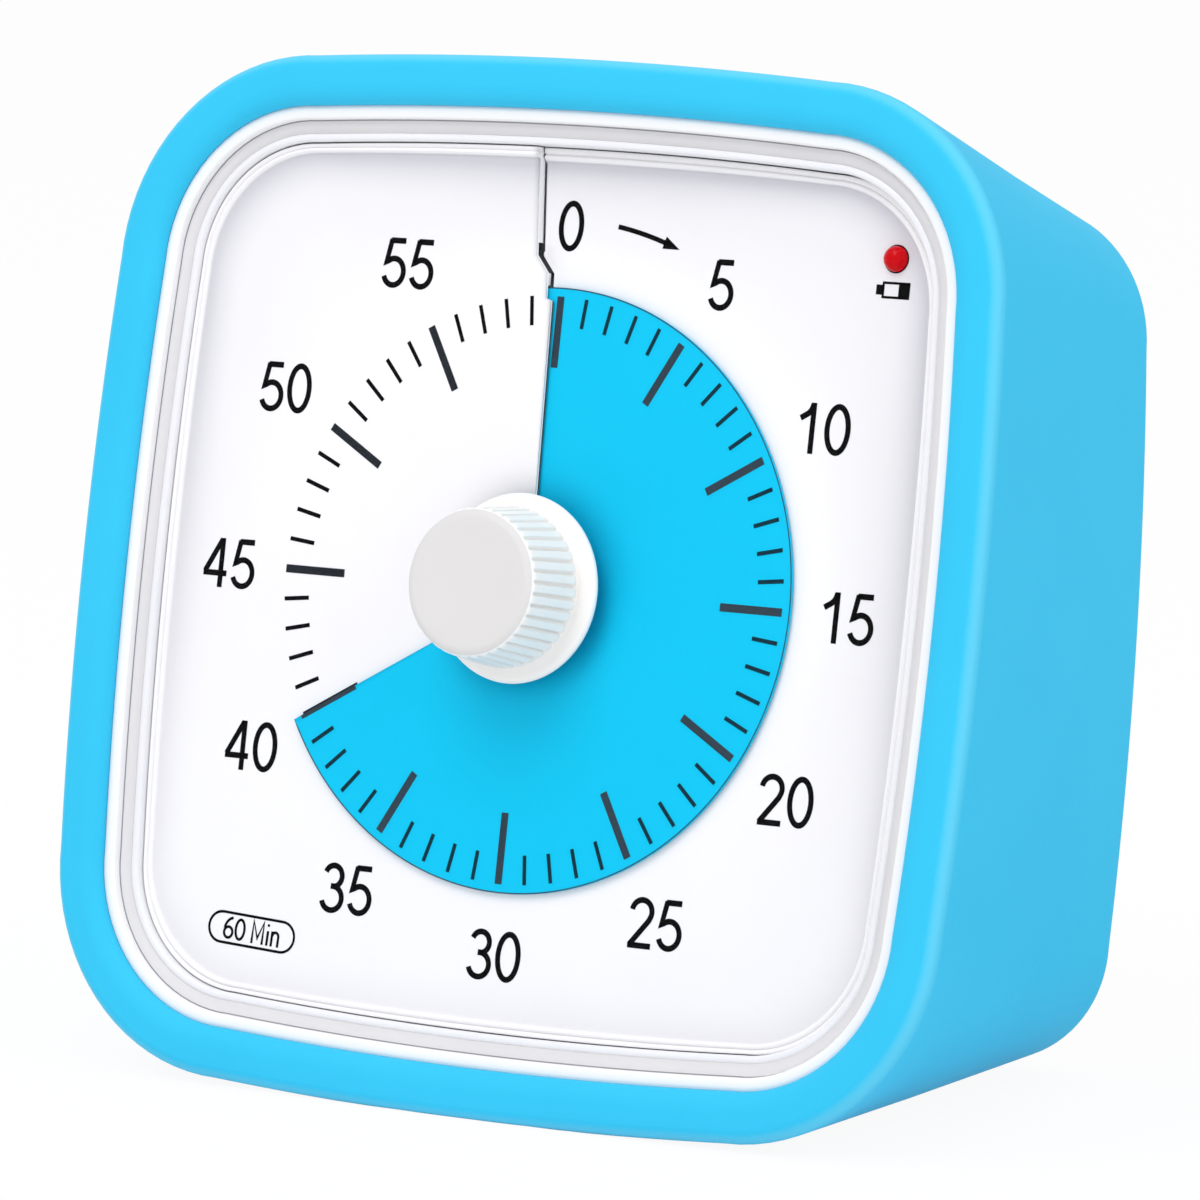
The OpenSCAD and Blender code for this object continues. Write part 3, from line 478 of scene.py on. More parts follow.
# %% [markdown]
# ## Dial and disc are one screw surface
# Dial plate and disc are thin sheets. Each has one cut, and its two lips stand at different
# heights, so that the disc can slide out through the slit of the dial and lie on top of it. A
# sheet that climbs evenly by 0.9 mm in a full turn does exactly that, like one thread of a
# screw. Its height depends only on the angle, so printing is laid on it in the same way.

# %% Heights of the two sheets
PITCH, SHEET_T = 0.9, 0.25
SLIT_ANGLE, NOTCH_ANGLE, SLIT_UPPER, SLIT_W = -1.5, -2.75, -5.1, 0.1
PLATE_LOW = -0.271
DISC_R, DISC_LEAD = 23.6, 240.0
HOLE_R, NOTCH_R, NOTCH_L, JOG_LOW, JOG_HIGH = 4.2, 22.5, 0.2, 24.7, 26.1


def plate_height(clockwise):
    """How far the dial's middle stands towards the viewer at a clockwise angle in degrees."""
    return PLATE_LOW + PITCH * clockwise / 360


def disc_height(behind):
    """The same for the disc, at an angle behind its leading edge."""
    return plate_height(DISC_LEAD) + PITCH / 2 - PITCH * behind / 360


def polar(radius, clockwise, height):
    """Radius, clockwise angle in degrees and height towards the viewer, to the face frame."""
    a = np.radians(clockwise)
    radius, a, height = np.broadcast_arrays(radius, a, height)
    return np.stack([radius * np.sin(a), -height, radius * np.cos(a)], -1)


# %% [markdown]
# ## The dial plate
# The plate is drawn as a grid of spokes and rings between its centre hole and its square edge.
# The slit runs straight out to the edge of the disc, jogs to the left and goes on upwards. Each
# spoke starts and ends on the slit, so the spokes turn with it, and the last one closes on the
# first across the narrow gap. Near the edge the sheet is embossed with two shallow beads, which
# stiffen it and give the fine light lines along the border. Where both ends of the border meet
# at the slit, the beads are a little out of line.

# %% Dial plate
PLATE_GAP = 0.09
PLATE_HALF = FRONT_HALF - mouth - PLATE_GAP
PLATE_CORNER = CORNER - mouth - PLATE_GAP


def edge_distance(half, radius, clockwise):
    """Distance from the axis to a square with round corners, along each clockwise angle."""
    s, c = abs(np.sin(np.radians(clockwise))), abs(np.cos(np.radians(clockwise)))
    straight = half / np.maximum(s, c)
    flat = half - radius
    b = flat * (s + c)
    bend = b + np.sqrt(np.maximum(b * b - 2 * flat * flat + radius * radius, 0))
    bowed = BOW * np.maximum(1 - (straight * np.minimum(s, c) / flat) ** 2, 0) / np.maximum(s, c)
    return np.where(straight * np.minimum(s, c) <= flat, straight + bowed, bend)


def slit_at(radius):
    """Clockwise angle of the slit at a radius: three radial stretches with short steps between."""
    stops = [HOLE_R, NOTCH_R, NOTCH_R + NOTCH_L, JOG_LOW, JOG_HIGH]
    return np.interp(radius, stops, [SLIT_ANGLE] * 2 + [NOTCH_ANGLE] * 2 + [SLIT_UPPER])


spokes = 361
turn = np.linspace(0, 1, spokes)[:, None]
gap = SLIT_W * (0.5 - turn)
rim_angle = SLIT_UPPER + 360 * turn
edge = edge_distance(PLATE_HALF, PLATE_CORNER, rim_angle)
BEAD_STEP, GROOVE = 0.16, 6    # GROOVE: the point of bead_in at which the grey groove starts
margin_in = np.array([4.6, 3.8, 3.0, 2.2, 1.5])
bead_in = np.array([1.15, 0.98, 0.86, 0.76, 0.65, 0.54, 0.47, 0.40, 0.33, 0.24, 0.14, 0.05, 0.0])
bead_up = np.array([0.0, 0.02, 0.15, 0.26, 0.3, 0.25, 0.1, 0.1, 0.22, 0.28, 0.3, 0.27, 0.2])
emboss_in = np.concatenate([margin_in, bead_in])[None]
emboss_up = np.concatenate([0 * margin_in, bead_up])[None]
shift = BEAD_STEP * (0.5 - turn) * ((emboss_in > 0.05) & (emboss_in < 1.2))
inner_r = np.array([[HOLE_R, 10, 18, NOTCH_R, NOTCH_R + NOTCH_L, JOG_LOW, JOG_HIGH]])
flat_columns = inner_r.size
radii = np.concatenate([np.broadcast_to(inner_r, (spokes, flat_columns)),
                        edge - emboss_in - shift], 1)
clock = np.concatenate([slit_at(inner_r) + 360 * turn,
                        np.broadcast_to(rim_angle, (spokes, emboss_in.size))], 1)
lift = np.concatenate([np.zeros((spokes, flat_columns)),
                       np.broadcast_to(emboss_up, (spokes, emboss_in.size))], 1)
middle = plate_height(clock) + lift
clock = clock + np.degrees(gap / radii)


def sheet_points(radii, clock, middle):
    """A closed thin sheet: its front half a thickness up, its back half a thickness down."""
    front_side = polar(radii, clock, middle + SHEET_T / 2)
    back_side = polar(radii, clock, middle - SHEET_T / 2)
    return np.concatenate([front_side, back_side[:, ::-1]], 1)


def sheet_quads(spokes, columns):
    """Quads round the sheet's section, and one strip down each of its two cut ends."""
    body = grid_faces(spokes, 2 * columns, False, True)
    k = np.arange(columns - 1)
    start = np.stack([k, k + 1, 2 * columns - 2 - k, 2 * columns - 1 - k], -1)
    end = (spokes - 1) * 2 * columns + start[:, ::-1]
    return np.concatenate([body, start, end])


dial = make_piece("dial_sheet", sheet_points(radii, clock, middle),
                  sheet_quads(spokes, radii.shape[1]), "case", "dial_sheet")
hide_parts("dial_plate")
# painted shade: the second finish, light grey, is painted into the groove between the two beads of the border
dial.data.materials.append(ledge_grey_and_groove_shade)
section = 2 * radii.shape[1]
plate_finish = np.zeros(len(dial.data.polygons), int)
plate_finish[flat_columns + margin_in.size + GROOVE:(spokes - 1) * section:section] = 1
finish_faces(dial, plate_finish)

# %% [markdown]
# The frame of the window stands 2 mm above the plate and keeps soft light from its border, most
# of all at the top. Light as even as this scene's would fill that shade, so the sheet carries it
# itself: each point gets a number that falls from 1 beside the bead to 0 some way inside.

# %% Shade along the border
SHADE_MEAN, SHADE_SWING, SHADE_SIDE, SIDE_TURN = 0.64, 0.36, 0.12, 0.9
FALL_IN, FALL_SHARE = [0.9, 1.0, 1.5, 2.2, 3.0, 3.8, 4.6], [0, 1, 0.78, 0.5, 0.28, 0.13, 0.04]
fall = np.interp(emboss_in, FALL_IN, FALL_SHARE)
round_dial = np.radians(rim_angle)
border_shade = fall * (SHADE_MEAN + SHADE_SWING * np.cos(round_dial)) + \
    SHADE_SIDE * (1 + np.sin(round_dial + SIDE_TURN)) * (fall > 0)
shade_front = np.concatenate([np.zeros((spokes, flat_columns)), border_shade], 1)
tint_edges(dial, np.concatenate([shade_front, shade_front[:, ::-1]], 1))


def spoke(clockwise):
    """Two unit vectors [x, z] at a clockwise angle in degrees: outwards, and across, clockwise."""
    a = math.radians(clockwise)
    return np.array([math.sin(a), math.cos(a)]), np.array([math.cos(a), -math.sin(a)])


def slit_skirt(name, clockwise, radii, tuck):
    """A thin wall down from the raised lip to the lower one, tucked in under the lip."""
    along, across = spoke(clockwise)
    side = np.array([-tuck - SKIRT_T, -tuck])[[0, 1, 1, 0]] - SLIT_W / 2
    up = np.array([plate_height(360 + clockwise) - SHEET_T / 2,
                   plate_height(clockwise) + SHEET_T / 2])[[0, 0, 1, 1]]
    rim = edge_distance(PLATE_HALF, PLATE_CORNER, clockwise)
    bead = np.interp(rim - radii, bead_in[::-1], bead_up[::-1], right=0.0)
    flat = radii[:, None, None] * along + side[None, :, None] * across
    points = np.stack([flat[..., 0], -up - bead[:, None], flat[..., 1]], -1)
    n = len(radii)
    ends = [[0, 1, 2, 3], [4 * n - 1, 4 * n - 2, 4 * n - 3, 4 * n - 4]]
    quads = np.concatenate([grid_faces(n, 4, False, True), ends])
    make_piece(name, points, quads, "case", "dial_sheet", smooth=False)


SKIRT_T = 0.12
upper_r = np.concatenate([[JOG_HIGH + 1.0, 30.0, 32.0], edge[0] - bead_in])
slit_skirt("slit_skirt_upper", SLIT_UPPER, upper_r, 0.0)
slit_skirt("slit_skirt_lower", NOTCH_ANGLE, np.linspace(DISC_R + 0.15, JOG_LOW, 3), 0.2)

# %% [markdown]
# ## The coloured disc
# The disc is the same kind of sheet, with its leading edge where the fortieth minute is. It
# rides on its own body, because it turns with the knob and rises a little as it turns.

# %% Disc
DISC_HOLE_R, DISC_SPOKES = 3.0, 289
disc_r, behind = np.broadcast_arrays([[DISC_HOLE_R, 10.0, 17.0, DISC_R - 0.05, DISC_R]],
                                     np.linspace(360, 0, DISC_SPOKES)[:, None])
disc_points = sheet_points(disc_r, DISC_LEAD - behind, disc_height(behind))
disc = make_piece("coloured_disc", disc_points, sheet_quads(*disc_r.shape), "disc",
                  "disc_sheet")
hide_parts("timer_disc")

# %% [markdown]
# ## Printing
# Numbers, ticks and signs are screen-printed: a film of ink a few hundredths of a millimetre
# thick. Each stroke is a ribbon. A ribbon follows a path and takes its width square to it, and
# its corners are mitred by averaging the directions of the two neighbours. Laying the points on
# the screw surface puts the ink on the sheet, whichever side of the slit it is on.

# %% Ribbons of ink
INK_LIFT = 0.02


def ribbon(path, width, closed=False):
    """Two rows of points, half a width to each side of the path, square to its direction."""
    path = np.asarray(path, float)
    if closed:
        ahead = np.roll(path, -1, 0) - path
        back = path - np.roll(path, 1, 0)
    else:
        ahead = np.diff(path, axis=0, append=path[-1:] + np.diff(path, axis=0)[-1:])
        back = np.diff(path, axis=0, prepend=path[:1] - np.diff(path, axis=0)[:1])
    ahead /= np.linalg.norm(ahead, axis=1, keepdims=True)
    back /= np.linalg.norm(back, axis=1, keepdims=True)
    along = ahead + back
    along /= np.maximum(np.linalg.norm(along, axis=1, keepdims=True), 1e-6)
    square = np.stack([-along[:, 1], along[:, 0]], -1)
    mitre = 1 / np.maximum(np.abs((along * ahead).sum(1)), 0.5)[:, None]
    return np.stack([path + square * width / 2 * mitre, path - square * width / 2 * mitre], 0)


def on_plate(flat):
    """Face coordinates [x, z] to points just above the dial plate."""
    clockwise = np.degrees(np.arctan2(flat[..., 0], flat[..., 1])) % 360
    limit = 360 + slit_at(np.hypot(flat[..., 0], flat[..., 1]))
    clockwise = np.where(clockwise >= limit, clockwise - 360, clockwise)
    height = plate_height(clockwise) + SHEET_T / 2 + INK_LIFT
    return np.stack([flat[..., 0], -height, flat[..., 1]], -1)


def on_disc(flat):
    """Face coordinates [x, z] to points just above the disc, with the disc at rest."""
    clockwise = np.degrees(np.arctan2(flat[..., 0], flat[..., 1]))
    behind = (DISC_LEAD - clockwise) % 360
    height = disc_height(behind) + SHEET_T / 2 + INK_LIFT
    return np.stack([flat[..., 0], -height, flat[..., 1]], -1)


def print_strokes(name, strokes, place, body, material):
    """Joins many ribbons, each [2, n, 2] with n points, into one flat mesh facing the viewer."""
    points, quads, start = [], [], 0
    for stroke, closed in strokes:
        n = stroke.shape[1]
        quads.append(start + grid_faces(2, n, False, closed))
        points.append(place(stroke).reshape(-1, 3))
        start += 2 * n
    points, quads = np.concatenate(points), np.concatenate(quads)
    a, b, d = (points[quads[:, k]] for k in (0, 1, 3))
    away = np.cross(b - a, d - a)[:, 1] > 0
    quads[away] = quads[away][:, ::-1]
    make_piece(name, points, quads, body, "dial_sheet", smooth=False, flip=False,
               finish_of=[material])


# %% [markdown]
# ## Numerals
# The numerals are a narrow sans serif with one stroke width, drawn here from straight lines and
# arcs in a box one unit high. Bowls are parts of ellipses. They stand upright all round the
# dial, centred on one circle.

# %% Strokes of the numerals
def arc(cx, cz, rx, rz, start, end, steps=18):
    """Part of an ellipse; angles in degrees, anticlockwise from the right."""
    a = np.radians(np.linspace(start, end, steps))
    return np.stack([cx + rx * np.cos(a), cz + rz * np.sin(a)], -1)


def line(*points):
    """A broken line through the points."""
    return np.array(points, float)


GLYPHS = {
    "0": [(arc(0.29, 0.5, 0.235, 0.445, 90, 450, 41)[:-1], True)],
    "1": [(np.concatenate([line((0.06, 0.68)), arc(0.02, 0.97, 0.30, 0.26, -62, -8, 8),
                           line((0.33, 0.97))]), False),
          (line((0.34, 0.99), (0.34, 0.0)), False)],
    "2": [(np.concatenate([arc(0.29, 0.715, 0.225, 0.23, 172, -18, 20),
                           line((0.46, 0.55), (0.06, 0.055))]), False),
          (line((0.025, 0.055), (0.55, 0.055)), False)],
    "3": [(arc(0.27, 0.735, 0.20, 0.21, 160, -80, 20), False),
          (np.concatenate([line((0.22, 0.535)), arc(0.265, 0.295, 0.235, 0.24, 80, -165, 24)]),
           False)],
    "4": [(line((0.40, 0.97), (0.035, 0.31)), False), (line((0.0, 0.285), (0.56, 0.285)), False),
          (line((0.415, 0.99), (0.415, 0.0)), False)],
    "5": [(line((0.17, 0.945), (0.52, 0.945)), False),
          (np.concatenate([line((0.19, 0.97), (0.10, 0.515)),
                           arc(0.285, 0.32, 0.235, 0.265, 125, -160, 26)]), False)],
    "6": [(arc(0.285, 0.30, 0.225, 0.245, 90, 450, 33)[:-1], True),
          (arc(0.56, 0.38, 0.50, 0.60, 100, 172, 10), False)],
    "M": [(line((0.05, 0.0), (0.05, 1.0), (0.33, 0.25), (0.61, 1.0), (0.61, 0.0)), False)],
    "i": [(line((0.05, 0.0), (0.05, 0.66)), False), (line((0.05, 0.86), (0.05, 0.97)), False)],
    "n": [(line((0.05, 0.0), (0.05, 0.68)), False),
          (np.concatenate([line((0.05, 0.45)), arc(0.23, 0.45, 0.17, 0.2, 150, 0, 10),
                           line((0.40, 0.0))]), False)],
    " ": [],
}
ADVANCE = {"0": 0.66, "1": 0.62, "2": 0.66, "3": 0.64, "4": 0.66, "5": 0.66, "6": 0.62,
           "M": 0.82, "i": 0.24, "n": 0.5, " ": 0.28}


def turned(path, tilt):
    """A path turned clockwise about the origin, by an angle in radians."""
    return path @ np.array([[math.cos(tilt), -math.sin(tilt)], [math.sin(tilt), math.cos(tilt)]])


def lettering(words, centre, height, weight, tilt=0.0):
    """Ribbons for a line of text: glyphs side by side, turned clockwise about their centre."""
    start, strokes = 0.0, []
    for letter in words:
        strokes += [(path + [start, 0.0], closed) for path, closed in GLYPHS[letter]]
        start += ADVANCE[letter]
    ends = np.concatenate([path for path, _ in strokes])
    shift = np.array([(ends[:, 0].min() + ends[:, 0].max()) / 2, 0.5])
    return [(ribbon(turned(path - shift, tilt) * height + centre, weight, closed), closed)
            for path, closed in strokes]


# %% [markdown]
# ## What is printed on the plate
# Twelve numerals, sixty ticks with every fifth one long and broad, an arrow that shows which way
# to turn, a small battery beside the lamp, and the length of the scale in a ring.

# %% Numerals, arrow, battery sign and scale mark
NUMBER_R, NUMBER_H, NUMBER_WEIGHT = 28.45, 3.95, 0.46
ARROW_R, ARROW_FROM, ARROW_TO, SHAFT_W = 28.95, 8.6, 18.2, 0.38
HEAD_FROM, HEAD_TO, HEAD_HALF = 17.4, 20.4, 0.5
RING_R, RING_W = 1.04, 0.12
LED_AT, BATTERY_AT, PILL_AT = np.array([[29.5, 27.5], [29.6, 25.1], [-22.75, -28.8]])
BATTERY_LEFT, BATTERY_RIGHT, BATTERY_HALF, BATTERY_LINE = -1.0, 1.25, 0.55, 0.19
CHARGE_LEFT, CAP_LEFT, CAP_W = 0.35, -1.62, 0.76
PILL_W, PILL_H, PILL_LINE, PILL_TILT = 8.15, 2.4, 0.21, math.radians(3)
WORD_H, WORD_WEIGHT = 1.75, 0.22
marks = []


def mark(path, width, closed=False):
    """Adds one stroke to the marks of the plate."""
    marks.append((ribbon(path, width, closed), closed))


for minute in range(0, 60, 5):
    marks += lettering(str(minute), NUMBER_R * spoke(6 * minute)[0], NUMBER_H, NUMBER_WEIGHT)

# arrow: a curved shaft, and a head whose two edges all but meet in a point
mark([ARROW_R * spoke(a)[0] for a in np.linspace(ARROW_FROM, ARROW_TO, 9)], SHAFT_W)
tip, base = ARROW_R * spoke(HEAD_TO)[0], spoke(HEAD_FROM)[0]
marks.append((np.array([[(ARROW_R + HEAD_HALF) * base, tip],
                        [(ARROW_R - HEAD_HALF) * base, tip - 0.001]]), False))

# a dark ring painted round the lamp as the shade in the gap of its hole; battery with its cap and the part that is
# still charged
mark(LED_AT + arc(0, 0, RING_R, RING_R, 0, 360, 37)[:-1], RING_W, True)
mark(BATTERY_AT + line((BATTERY_LEFT, BATTERY_HALF), (BATTERY_RIGHT, BATTERY_HALF),
                       (BATTERY_RIGHT, -BATTERY_HALF), (BATTERY_LEFT, -BATTERY_HALF)),
     BATTERY_LINE, True)
mark(BATTERY_AT + line((CHARGE_LEFT, 0.0), (BATTERY_RIGHT, 0.0)), 2 * BATTERY_HALF + 0.05)
mark(BATTERY_AT + line((CAP_LEFT, 0.0), (BATTERY_LEFT, 0.0)), CAP_W)

# length of the scale, in its ring
pill_end, pill_r = (PILL_W - PILL_H) / 2, PILL_H / 2
pill_path = np.concatenate([arc(pill_end, 0, pill_r, pill_r, -90, 90, 16),
                            arc(-pill_end, 0, pill_r, pill_r, 90, 270, 16)])
mark(PILL_AT + turned(pill_path, PILL_TILT), PILL_LINE, True)
marks += lettering("60 Min", PILL_AT, WORD_H, WORD_WEIGHT, PILL_TILT)
print_strokes("dial_numbers", marks, on_plate, "case", ink)

# %% [markdown]
# ## Ticks
# The plate carries sixty ticks. The disc carries sixty of its own, counted back from its leading
# edge, so that they fall on those of the plate whenever it shows whole minutes. The disc's first
# tick lies right at its edge, and only the half that is on the disc is printed.

# %% Ticks on the plate and on the disc
TICK_OUT, MAJOR_IN, MINOR_IN = 22.9, 17.35, 20.6
MAJOR_W, MINOR_W = 0.64, 0.33


def tick(clockwise, inner, width, side=0.0):
    """A straight radial tick; side moves it by that many widths across its own length."""
    out, across = spoke(clockwise)
    middle = np.stack([out * inner, out * (inner + TICK_OUT) / 2, out * TICK_OUT])
    return ribbon(middle + across * side * width, width), False


majors = [tick(6 * m, MAJOR_IN, MAJOR_W) for m in range(0, 60, 5)]
minors = [tick(6 * m, MINOR_IN, MINOR_W) for m in range(60) if m % 5]
print_strokes("plate_ticks_long", majors, on_plate, "case", ink_heavy)
print_strokes("plate_ticks_short", minors, on_plate, "case", ink)
edge_tick = [tick(DISC_LEAD, MAJOR_IN, MAJOR_W / 2, -0.5)]
disc_majors = edge_tick + [tick(DISC_LEAD - 6 * m, MAJOR_IN, MAJOR_W) for m in range(5, 60, 5)]
disc_minors = [tick(DISC_LEAD - 6 * m, MINOR_IN, MINOR_W) for m in range(60) if m % 5]
disc_ink = printing_ink("ink_on_blue_sheet", "#313f4a", "#384652")
disc_ink_fine = printing_ink("fine_ink_on_blue_sheet", "#10303f", "#143644")
print_strokes("disc_ticks_long", disc_majors, on_disc, "disc", disc_ink)
print_strokes("disc_ticks_short", disc_minors, on_disc, "disc", disc_ink_fine)

# %% [markdown]
# ## Cut edges
# A sheet that is punched from blue stock shows a thin dark line where its cut edge turns away
# from the light. That shade is painted as a dark ribbon round the disc. The cut of the dial, where
# its raised lip lies over the disc, shows such a line too, and its shade is painted as a ribbon
# just under the lip. Further out a painted shade runs along the foot of the raised edge.

# %% Painted shade along the edges of disc and slit
LIP_LINE, FOOT_LINE, DISC_LINE = 0.13, 0.11, 0.1
disc_edge_path = polar(DISC_R - DISC_LINE / 2, np.linspace(DISC_LEAD - 359.9, DISC_LEAD, 181), 0)
# painted shade: a dark ribbon along the disc's cut edge
disc_line = moulded("painted_shade_along_blue_sheet_edge", "#0a3c55", "#0e4059", 0.5, 0.2, 0.004)
print_strokes("disc_edge", [(ribbon(disc_edge_path[:, [0, 2]], DISC_LINE), False)], on_disc,
              "disc", disc_line)


def on_lip(flat):
    """Face coordinates [x, z] to points level with the underside of the dial's raised lip."""
    height = np.full(flat.shape[:-1], plate_height(360 + SLIT_ANGLE) - SHEET_T / 2)
    return np.stack([flat[..., 0], -height, flat[..., 1]], -1)


def spoke_line(clockwise, start, end, aside, width):
    """A ribbon from one radius to another, moved aside from the spoke at a clockwise angle."""
    out, across = spoke(clockwise)
    return ribbon(np.linspace(start, end, 24)[:, None] * out + aside * across, width), False


# painted shade: ribbons under the dial's raised lip and at the foot of its raised edge
slit_line = moulded("punched_edge_in_shade", "#16303c", "#1a3440", 0.6, 0.2, 0.003)
foot_shade = moulded("painted_shade_at_foot_of_raised_edge", "#2f343a", "#363b41", 0.6, 0.2, 0.003)
under_lip = spoke_line(SLIT_ANGLE, HOLE_R, NOTCH_R, (LIP_LINE - SLIT_W) / 2, LIP_LINE)
at_foot = spoke_line(SLIT_UPPER, JOG_HIGH + 0.3, edge[0, 0] - bead_in[0],
                     (FOOT_LINE + SLIT_W) / 2, FOOT_LINE)
print_strokes("slit_edge", [under_lip], on_lip, "case", slit_line)
print_strokes("slit_foot", [at_foot], on_plate, "case", foot_shade)

# %% [markdown]
# ## The knob
# The knob is turned by finger and thumb, so its grip is ribbed. Seen from the front it is a
# round flange, the grip, a smooth rim and a shallow dish. A turned profile alone would leave out
# the ribs, so the radius also depends on the angle: 40 broad ribs with soft shoulders stand on
# the grip. They start just behind the front rim and end a little before the flange.

# %% Knob
FLANGE_R, FLANGE_BACK, FLANGE_FRONT = 7.4, -2.1, -2.9
GRIP_R, GRIP_TIP_R, GRIP_FRONT = 6.35, 5.8, -9.3
RIBS, RIB_H, RIB_POINTS = 40, 0.4, 16
RIB_FRONT, RIB_BACK = GRIP_FRONT + 0.45, FLANGE_FRONT - 0.55
RIB_FROM, RIB_SOFT, RIB_RISE, RIB_RUN_OUT = 0.72, 0.22, 0.35, 0.3
FACE_BANDS = 7
knob_profile = np.concatenate([
    [[0.0, GRIP_FRONT + 0.22], [2.0, GRIP_FRONT + 0.20], [4.0, GRIP_FRONT + 0.12]],
    rounding([GRIP_TIP_R - 0.8, GRIP_FRONT], [GRIP_TIP_R, GRIP_FRONT],
             [GRIP_TIP_R, GRIP_FRONT + 0.7], 8),
    np.stack([np.linspace(GRIP_TIP_R, GRIP_R, 24)[1:],
              np.linspace(GRIP_FRONT + 0.7, FLANGE_FRONT - 0.12, 24)[1:]], -1),
    rounding([GRIP_R + 0.02, FLANGE_FRONT - 0.1], [GRIP_R + 0.06, FLANGE_FRONT],
             [GRIP_R + 0.2, FLANGE_FRONT], 3),
    rounding([FLANGE_R - 0.4, FLANGE_FRONT], [FLANGE_R, FLANGE_FRONT],
             [FLANGE_R, (FLANGE_FRONT + FLANGE_BACK) / 2], 6),
    rounding([FLANGE_R, (FLANGE_FRONT + FLANGE_BACK) / 2], [FLANGE_R, FLANGE_BACK],
             [FLANGE_R - 0.4, FLANGE_BACK], 6),
    [[3.4, FLANGE_BACK], [3.4, -1.6], [1.5, -1.6], [0.0, -1.6]]])
around_knob = RIBS * RIB_POINTS
theta = np.linspace(0, 2 * math.pi, around_knob, endpoint=False)
wave = 0.5 - 0.5 * np.cos(RIBS * theta)
rib = 1 - np.clip((wave - RIB_FROM) / RIB_SOFT, 0, 1)
depth_y = knob_profile[:, 1]
ribbed = np.clip((depth_y - RIB_FRONT) / RIB_RISE, 0, 1) * (depth_y < FLANGE_FRONT)
rib_end = np.clip((RIB_BACK - depth_y) / RIB_RUN_OUT, 0, 1)
knob_r = knob_profile[:, :1] - RIB_H * ribbed[:, None] * (1 - rib_end[:, None] * rib[None, :])
knob_points = np.stack([knob_r * np.cos(theta), np.repeat(depth_y[:, None], around_knob, 1),
                        knob_r * np.sin(theta)], -1)
# Painted light on one moulded white part: the face is painted darker than the flange as shade, and the grip is
# painted lighter and warmer than it, which also cancels the blue that the disc throws on the ribs.
knob_face_painted_darker = moulded("abs_white_textured_face_painted_darker", "#dbd9d9", "#d7d5d5", 0.55, 0.25, 0.008,
                    specular=0.3)
knob_grip_painted_lighter = moulded("abs_white_grip_painted_lighter_and_warmer", "#fdf5ef", "#f9f1eb", 0.4, 0.25, 0.004)
knob = make_piece("ribbed_knob", knob_points,
                  grid_faces(*knob_points.shape[:2], False, True), "knob", "knob_plastic",
                  finish_of=[finishes["knob_plastic"], knob_face_painted_darker, knob_grip_painted_lighter])
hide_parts("knob")
band_y = (depth_y[:-1] + depth_y[1:]) / 2
grip_rows = (band_y > RIB_FRONT) & (band_y < FLANGE_FRONT - 0.2)
knob_finish = np.where(np.arange(len(band_y)) < FACE_BANDS, 1, np.where(grip_rows, 2, 0))
finish_faces(knob, np.repeat(knob_finish, around_knob))

# %% [markdown]
# ## Floor, light and camera
# The object stands on a white sweep under soft boxes. A large white world fills the shadows, and
# two soft area lamps give the lip and the knob their form. To the camera the sweep is white, as
# a lit studio sweep is, but it still takes a little of the object's shadow.

# %% Floor and world
world = bpy.data.worlds.new("studio")
bpy.context.scene.world = world
world.use_nodes = True
world.node_tree.nodes.clear()


class Holder:
    """Lets `add` work on a world as it does on a material."""
    node_tree = world.node_tree


def for_rays(material, kinds, otherwise, value):
    """One number for the kinds of ray in the list, and another for all other rays."""
    path = add(material, "LightPath")
    found = path.outputs[kinds[0]]
    for kind in kinds[1:]:
        found = add(material, "Math", {0: found, 1: path.outputs[kind]},
                    operation="MAXIMUM").outputs[0]
    chosen = add(material, "MapRange", {"Value": found, "To Min": otherwise, "To Max": value})
    return chosen.outputs["Result"]


strength = for_rays(Holder, ["Is Camera Ray", "Is Glossy Ray", "Is Transmission Ray"], 0.8, 1.0)
sky = add(Holder, "Background", {"Color": linear("#ffffff"), "Strength": strength})
add(Holder, "OutputWorld", {"Surface": sky.outputs[0]})

FLOOR_HALF = 3.0
floor_material = new_material("white_paper_sweep")
share = for_rays(floor_material, ["Is Camera Ray", "Is Glossy Ray"], 0.0, 0.93)
paper = add(floor_material, "BsdfDiffuse", {"Color": linear("#f4f4f4")})
lit = add(floor_material, "Emission", {"Color": linear("#ffffff"), "Strength": 1.0})
both = add(floor_material, "MixShader", {0: share, 1: paper.outputs[0], 2: lit.outputs[0]})
add(floor_material, "OutputMaterial", {"Surface": both.outputs[0]})
floor_mesh = bpy.data.meshes.new("floor")
floor_mesh.from_pydata([(x * FLOOR_HALF, y * FLOOR_HALF, 0)
                        for x, y in ((-1, -1), (1, -1), (1, 1), (-1, 1))], [], [(0, 1, 2, 3)])
floor = bpy.data.objects.new("floor", floor_mesh)
bpy.context.scene.collection.objects.link(floor)
floor_mesh.materials.append(floor_material)


# %% Lamps
LAMP_AIM = Vector((0, 0, 0.04))


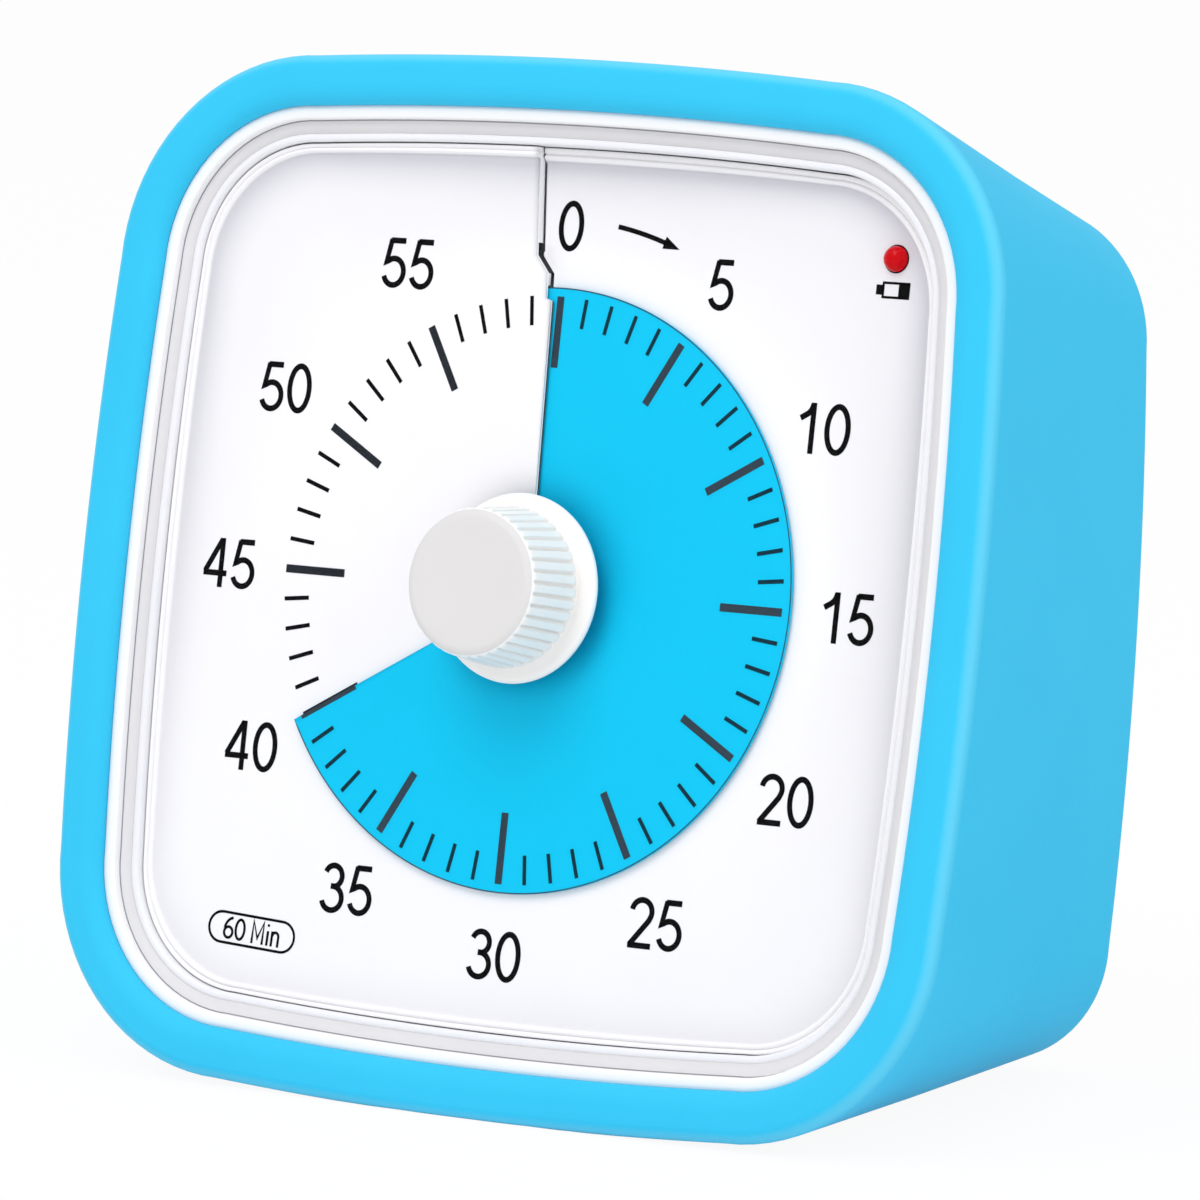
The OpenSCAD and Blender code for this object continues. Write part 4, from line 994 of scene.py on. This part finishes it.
def soft_box(name, place, size, power):
    """A square area lamp at a place in metres, turned to look at the middle of the case."""
    light = bpy.data.lights.new(name, "AREA")
    light.size, light.energy = size, power
    lamp = bpy.data.objects.new(name, light)
    lamp.location = place
    lamp.rotation_euler = (LAMP_AIM - Vector(place)).to_track_quat("-Z", "Y").to_euler()
    bpy.context.scene.collection.objects.link(lamp)


soft_box("key_box", (0.0, -0.62, 0.93), 0.6, 4.2)
soft_box("side_box", (0.9, -0.25, 0.35), 0.6, 1.3)

# %% [markdown]
# ## Camera
# A long lens from some way off keeps the square case square. The place and turn below are those
# of a camera 672 mm from the middle of the dial, 32 degrees round to the right of the face.

# %% Camera
FOCAL_PX, FRAME_PX, SENSOR = 8661.76, 1200, 36.0
TURN = [math.radians(a) for a in (-1.764, 32.219, 4.194)]
AWAY = np.array([-5.1681, -0.7337, 671.6])
TWIST = math.radians(0.82)


def turned_about(axis, angle):
    """Rotation matrix about one coordinate axis."""
    return np.array(Matrix.Rotation(angle, 3, axis))


face_to_view = turned_about("Z", TURN[2]) @ turned_about("Y", TURN[1]) @ turned_about("X", TURN[0])
face_to_view = face_to_view @ np.array([[1, 0, 0], [0, 0, -1], [0, 1, 0]])
clockwise = np.array([[math.cos(TWIST), 0, math.sin(TWIST)], [0, 1, 0],
                      [-math.sin(TWIST), 0, math.cos(TWIST)]])
face_to_view = face_to_view @ clockwise
camera_data = bpy.data.cameras.new("camera")
camera_data.sensor_width = SENSOR
camera_data.lens = FOCAL_PX / FRAME_PX * SENSOR
camera_data.clip_start, camera_data.clip_end = 0.05, 20.0
camera = bpy.data.objects.new("camera", camera_data)
bpy.context.scene.collection.objects.link(camera)
upright = FACE @ face_to_view.T @ np.diag([1.0, -1.0, -1.0])
place = to_scene(-face_to_view.T @ AWAY)
camera.matrix_world = Matrix.Translation(Vector(place)) @ Matrix(upright.tolist()).to_4x4()
bpy.context.scene.camera = camera
bpy.context.scene.view_settings.view_transform = "Standard"
print("camera at", np.round(place, 4))
